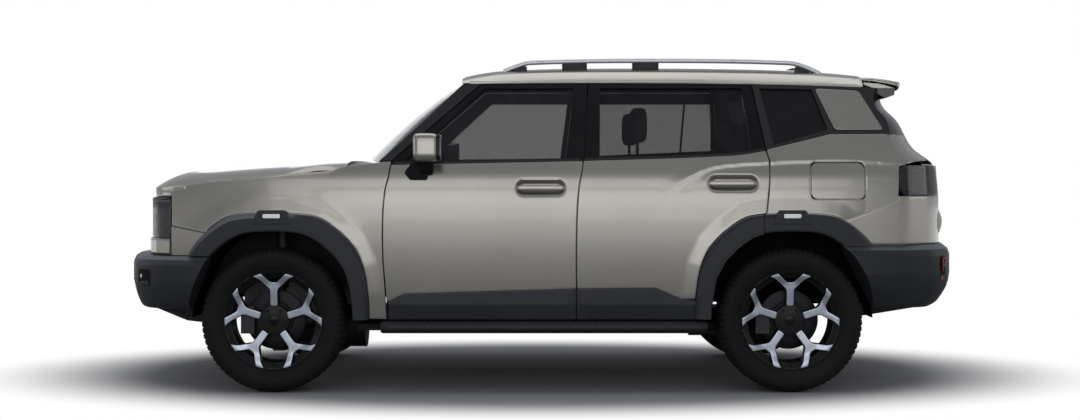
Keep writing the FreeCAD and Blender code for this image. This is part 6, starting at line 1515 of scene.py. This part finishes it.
def wheel_set():
    """Tyre, rim with five split spokes, machined faces, brake disc, nuts, cap and valve at each corner."""
    tyre = tyre_form()
    barrel = ring_of([(266, -108), (271, -108), (271, -98), (252, -90), (243, -50), (241, 70), (250, 92),
                      (271, 98), (271, 106), (268, 107.6), (263, 105), (250, 93), (242, 84), (232, 80),
                      (229, 40), (230, -60), (240, -96)], 120)
    body = pressed(shrunk(spoke_outline, -3.5), dished(86.0), (0, 1, 0), gap=0.0, spacing=8.0, depth=40.0,
                   back=True)
    face = pressed(spoke_outline, dished(90.5), (0, 1, 0), gap=0.0, radius=1.2, depth=5.5, back=True)
    webs = []
    for sign in (1, -1):
        a = np.radians(np.linspace(29, 43, 9)) * sign
        arc = np.column_stack((np.sin(a), np.cos(a)))
        webs.append(plate(np.vstack((arc * 268.0, arc[::-1] * 262.0)), edged(102.0, 107.8, 0.8)))
    well = ring_of([(15, 68), (17, 68), (17, 79), (15, 79)], 30)
    bodies, faces, wells, nuts = [], [], [], []
    for turn in SPOKE_TURNS:
        bodies.append(moved(body, turn=turn))
        faces += [moved(part, turn=turn) for part in (face, *webs)]
        forward, up = nut_place(turn)
        wells.append(moved(well, shift=(forward, 0, up)))
        nuts.append(round_plate(9.2, 66.0, 82.0, 2.0, (forward, up), 6))
        nuts.append(round_plate(6.0, 80.0, 84.0, 1.5, (forward, up), 16))
    hub = ring_of([(30, 18), (84, 18), (86, 60), (82, 76), (72, 78), (48, 79), (34, 81), (30, 81)], 72)
    disc = ring_of([(60, 34), (96, 34), (99, 22), (160, 22), (163, 20), (163, -4), (160, -6), (99, -6),
                    (60, -2)])
    cap = ring_of([(0.5, 78), (29, 78), (29.6, 82), (28, 85.5), (20, 87.2), (0.5, 87.6)], 48)
    valve = bar([(0, 92, -246), (0, 80, -239), (0, 70, -236)], oval(4, 4, 2.0, 12), (1, 0, 0))
    for end, axle_x in (("front", FRONT_AXLE_X), ("rear", REAR_AXLE_X)):
        for word, parts, slot, material, nodes in (
                ("tyre", [tyre], "tyre_rubber", tyre_rubber, [f"tyre_{end}_SIDE"]),
                ("rim", [barrel, *bodies, hub, *wells], "trim_black", wheel_black, [f"wheel_{end}_SIDE"]),
                ("spoke_faces", faces, "wheel_alloy", machined, ()),
                ("brake_disc", [disc], "chassis_steel", disc_steel, ()),
                ("lugs", nuts, "trim_black", wheel_black, ()),
                ("cap", [cap, valve], "trim_black", black_gloss, ())):
            carried(f"{end}_{word}", parts, axle_x, f"roadwheel_{end}_SIDE", slot, material, nodes)


# Mirrors, roof rails, side steps and door handles

def mirrors():
    """Painted shell with a black rim, ribs along its leading edge, a mirror in the back and a black foot."""
    shell = block((526.0, 939.0, 1252.0), (665.5, 1091.5, 1405.5), 5.0, 16)
    rim = plate(box_outline((946, 1256), (1087, 1401), 30), edged(517.0, 534.0, 3.0), lengthwise)
    ribs = [block((654.0 - abs(k) * 0.8, 962.0, 1322 + k * 11.0),
                  (665.4 - abs(k) * 1.4, 1078.0, 1327 + k * 11.0), 5.0, 6) for k in range(-5, 6)]
    glass = plate(box_outline((953, 1262), (1080, 1395), 24), edged(516.2, 519.0, 0.8), lengthwise)
    foot = plate(rounded(at(mirror_foot), 12.0), edged(921.0, 962.0, 6.0))
    arm = bar([(598, 940, 1192), (596, 970, 1206), (592, 1004, 1240), (590, 1012, 1266)], oval(15, 34),
              (1, 0, 0))
    for word, parts, slot, material, nodes in (
            ("shells", [shell], "body_paint", paint, ["door_mirror_SIDE"]),
            ("rims", [rim] + ribs, "trim_black", black_gloss, ()),
            ("glasses", [glass], "window_glass", mirror_silver, ()),
            ("feet", [foot, arm], "trim_black", black_and_recess_shade, ())):
        gather(f"mirror_{word}", parts, "door_front_SIDE", slot, material, both=True, replaces=nodes)


def rail_z(x):
    return sz(along(rail_line, base_share(x)))


def roof_rails():
    """Silver bar on its curve with its ends drawn down, on dark feet, with dark joints across it."""
    x = np.linspace(sx(rail_line[0][0]), sx(rail_line[-1][0]), 90)
    rail = bar(np.column_stack((x, x * 0 + RAIL_Y, rail_z(x) - 13.4)), oval(16.5, 12.8, 3.2, 24))
    gather("rail_bars", [rail], "body", "wheel_alloy", silver, both=True, replaces=["roof_rails"])
    feet = []
    for low, high in (map(sx, pair) for pair in rail_feet):
        middle = (low + high) / 2
        under = float(roof_z(np.array(middle), np.array(RAIL_Y)))
        top = float(rail_z(middle))
        feet.append(block((low, RAIL_Y - 13.0, under - 4.0), (high, RAIL_Y + 13.0, top - 16.0), 7.0, 8))
    gather("rail_feet", feet, "body", "trim_black", charcoal, both=True)
    joints = []
    for x in map(sx, (-0.40, -0.155, -0.02)):
        top = float(rail_z(x))
        low, high = (x - 1.6, RAIL_Y - 15.5, top - 24.0), (x + 1.6, RAIL_Y + 17.0, top - 3.0)
        joints.append(block(low, high, 6.0, 4))
    gather("rail_joints", joints, "body", "trim_black", charcoal, both=True)


def side_steps():
    """Board with a drawn-down outer edge, studs along its top and its edge, and a thin band on the edge."""
    low, high = sx(-0.3385), sx(0.2922)
    section = rounded([(838, 389.8), (957, 389.8), (973.8, 374), (973.8, 345), (941, 323.2), (838, 323.2)],
                      [3, 12, 12, 14, 10, 3])
    board = plate(section, edged(low + 0.3, high - 0.3, 14.0), lengthwise)
    gather("step_boards", [board], "body", "step_black", step_plastic, both=True, replaces=["side_steps"])
    studs = []
    for x in np.arange(low + 70, high - 40, 39.6):
        studs.append(block((x - 12, 905.0, 387.2), (x + 12, 950.0, 389.9), 5.0, 4))
        studs.append(block((x - 13, 962.0, 357.0), (x + 13, 974.2, 362.0), 5.0, 4))
    line = [plate(rounded([(973.0, 367), (974.1, 366), (974.1, 352), (973.0, 351)], 0.4),
                  edged(low + 40, high - 40, 1.0), lengthwise)]
    gather("step_studs", studs + line, "body", "step_black", charcoal, both=True)


def door_handles():
    """Painted grip across each cup, on two black stalks."""
    for (hx, hz), end in zip(handles, ("front", "rear")):
        rider = f"door_{end}_SIDE"
        skin = float(painted_y(np.array(hx), np.array(hz)))
        t = np.linspace(-1, 1, 30)
        path = np.column_stack((hx + t * 131.0, skin - 11.0 - 3.0 * np.abs(t) ** 3, hz + t * 0))
        grip = bar(path, oval(12.5, 17.5, 3.4, 28), scale=1 - 0.42 * np.abs(t) ** 14)
        gather(f"{end}_grip", [grip], rider, "body_paint", paint, both=True)
        stalks = [block((x - 16, skin - 40.0, hz - 12), (x + 16, skin - 10.0, hz + 12), 5.0, 8)
                  for x in (hx - 108, hx + 108)]
        gather(f"{end}_grip_stalks", stalks, rider, "trim_black", black_gloss, both=True)


# Cabin: padded seats

SEAT_RAKE = math.tan(math.radians(18.0))


def pleated(low, high, axis, pitch=92.0, power=4.4, n=18, rise=2.6):
    """Cushion block: its two broad faces rise and fall by the root of a sine along an axis."""
    points, faces = block(low, high, power, n)
    low, high = np.array(low, float), np.array(high, float)
    middle, half = (low + high) / 2, (high - low) / 2
    wave = np.abs(np.sin((points[:, axis] - middle[axis]) / pitch * math.pi)) ** 0.5 - 0.8
    inner = 1 - np.clip(np.abs((points - middle) / half)[:, 1], 0, 1) ** 6
    thin = int(np.argmin(half))
    points[:, thin] += np.sign(points[:, thin] - middle[thin]) * wave * rise * inner
    return points, faces


def raked(part, foot):
    """A form sheared back with height above a foot, as the seat's rake has it."""
    points, faces = part
    points = np.array(points, float)
    points[:, 0] -= SEAT_RAKE * (points[:, 2] - foot)
    return points, faces


def seats():
    """Two front seats and a rear bench: foot, pleated cushion and back, side pads and headrests on stalks."""
    foot = 486.0
    for name, x, places, width, back_top, head_top, heads, replaced in (
            ("front_seat", sx(-0.135), (370.0, -370.0), 500.0, 1290.0, 1570.0, (0.0,), "front_seats"),
            ("rear_seat", sx(-0.375), (0.0,), 1240.0, 1230.0, 1500.0, (370.0, -370.0), "rear_bench")):
        parts = []
        for y in places:
            low, high = y - width / 2, y + width / 2
            parts.append(block((x + 60, low + 75, 354), (x + 400, high - 75, 414), 8.0, 6))
            parts.append(pleated((x + 4, low + 4, 412), (x + 518, high - 4, 566), 0))
            parts.append(raked(pleated((x + 2, low + 6, foot), (x + 118, high - 6, back_top), 2), foot))
            hinge = x - SEAT_RAKE * (back_top - foot)
            for place in heads:
                parts.append(block((hinge - 22, y + place - 128, head_top - 198),
                                   (hinge + 74, y + place + 128, head_top), 4.0, 14))
                for stalk in (y + place - 46, y + place + 46):
                    path = [(hinge + 30, stalk, back_top - 30), (hinge + 30, stalk, head_top - 150)]
                    parts.append(bar(path, oval(6, 6, 2.0, 12), (1.0, 0.0, 0.0)))
            edges = (low + 40, high - 40) if width < 600 else (low + 40, y, high - 40)
            for edge in edges:
                pad = block((x + 40, edge - 36, 560), (x + 140, edge + 36, back_top - 60), 3.6, 12)
                parts.append(raked(pad, foot))
                parts.append(block((x + 90, edge - 36, 480), (x + 505, edge + 36, 588), 3.6, 12))
        pieces = gather(name, parts, "body", "seat_fabric", seat_cloth, replaces=[replaced])


# Materials of the solids that stay on show

def fixed_glass_material():
    """Clear windscreen ahead of the middle of the cabin, dark privacy glass behind it."""
    g = Graph("fixed_glass")
    ahead = g.axis("X").over(0.05, 0.06)
    haze = g.noise(9.0, 2.0)
    return g.finish(base_color=g.blend(ahead, (0.012, 0.012, 0.014), (0.03, 0.035, 0.040)),
                    roughness=0.03 + haze * 0.03, alpha=0.88 - ahead * 0.28, specular_ior_level=0.2)


def dress(names, material):
    """Gives solids one material each."""
    for name in names:
        data = frame["nodes"][name].data
        data.materials.clear()
        data.materials.append(material)


def sides_of(*names):
    return [f"{name}_{word}" for name in names for word in ("left", "right")]


def dress_nodes():
    dress(sides_of("front_door", "rear_door"), black_gloss)
    dress(["body_sides"], two_tone("body_sides_two_tone", 1.253,
                                   lift=lambda g: (1.0 - g.axis("X").over(-1.62, -1.24)) * 0.150))
    dress(["fenders", "hood", "roof_panel", "rear_corner_panels", "chin_panel"], paint)
    dress(["fixed_glass"], fixed_glass_material())
    dress(sides_of("front_door_glass"), side_glass)
    dress(sides_of("rear_door_glass"), rear_side_glass)
    dress(["tailgate_glass"], rear_glass)
    dress(["wheel_liners"], liner_felt)
    dress(["floor_pan", "engine_bay", "fuel_tank"], chassis_black)
    dress(["front_suspension", "rear_suspension", "driveline"] + sides_of("knuckle"), suspension_iron)
    dress(["engine_block"], engine_cast)
    dress(["exhaust"], exhaust_steel)
    dress(["dashboard", "steering_wheel"], cabin_plastic)
    dress(["grille"], grille_black)


# Cowl cover, roof fin, belt mouldings and window bars

def cowl_cover():
    """Ribbed cover between hood and screen: it lies under the hood's height and climbs towards the screen."""
    y = np.linspace(-800, 800, 90)
    rows = []
    for share in np.linspace(0, 1, 8):
        x = 996.0 - share * 60.0 - 30.0 * (np.abs(y) / 800.0) ** 2
        z = hood_z(np.maximum(x, 1045.0), y) - 74.0 + share * 34.0 + 3.0 * np.sin(share * 5 * math.pi)
        rows.append(np.column_stack((x, y, z)))
    top = np.stack(rows)
    grid = np.concatenate((top, top[::-1] - (0, 0, 14.0)))
    gather("cowl_cover", [closed_form(grid.transpose(1, 0, 2))], "body", "dark_plastic", charcoal)


def roof_fin():
    """Fin of ovals that shrink and move back as they climb, below the rails' height."""
    x = sx(-0.545)
    low = float(roof_z(np.array(x), np.array(0.0))) - 2.0
    height = min(50.0, 1841.0 - low)
    turn = np.linspace(0, 2 * math.pi, 24, endpoint=False)
    rings = []
    for share in np.linspace(0, 1, 10):
        length, width = 150.0 * (1 - share) ** 0.8 + 18.0, 32.0 * (1 - share) ** 0.7 + 3.0
        rings.append(np.column_stack((x - share * 46.0 + np.cos(turn) * length / 2, np.sin(turn) * width,
                                      low + share * height + turn * 0)))
    put("roof_fin", *closed_form(np.stack(rings)), "body", "trim_black", black_gloss)


def door_details():
    """Moulding along the belt line, and the divider bar of the rear window."""
    for end, low, high in (("front", -0.0925, 0.2650), ("rear", -0.4500, -0.1030)):
        x, z = belt_points(low, high, 60, 3.0).T
        path = np.column_stack((x, painted_y(x, z) - 1.5, z))
        gather(f"{end}_belt_strip", [bar(path, oval(4.5, 10.0, 3.0, 16))], f"door_{end}_SIDE", "trim_black",
               black_gloss, both=True)
    z = np.linspace(sz(0.7080), 1648.0, 24)
    path = np.column_stack((-951.0 - (z - 1310.0) * 0.05, side_y(-951.0 + z * 0, z) - 9.0, z))
    gather("rear_window_bar", [bar(path, oval(7.0, 7.0, 4.0, 14), (1.0, 0.0, 0.0))], "door_rear_SIDE",
           "trim_black", black_gloss, both=True)


bumpers()
front_bumper_details()
rear_bumper_details()
grille_details()
head_lamps()
tail_lamps()
gate_copy()
corner_skins()
tailgate_details()
spoiler()
wheel_set()
mirrors()
roof_rails()
side_steps()
door_handles()
seats()
cowl_cover()
roof_fin()
door_details()
dress_nodes()
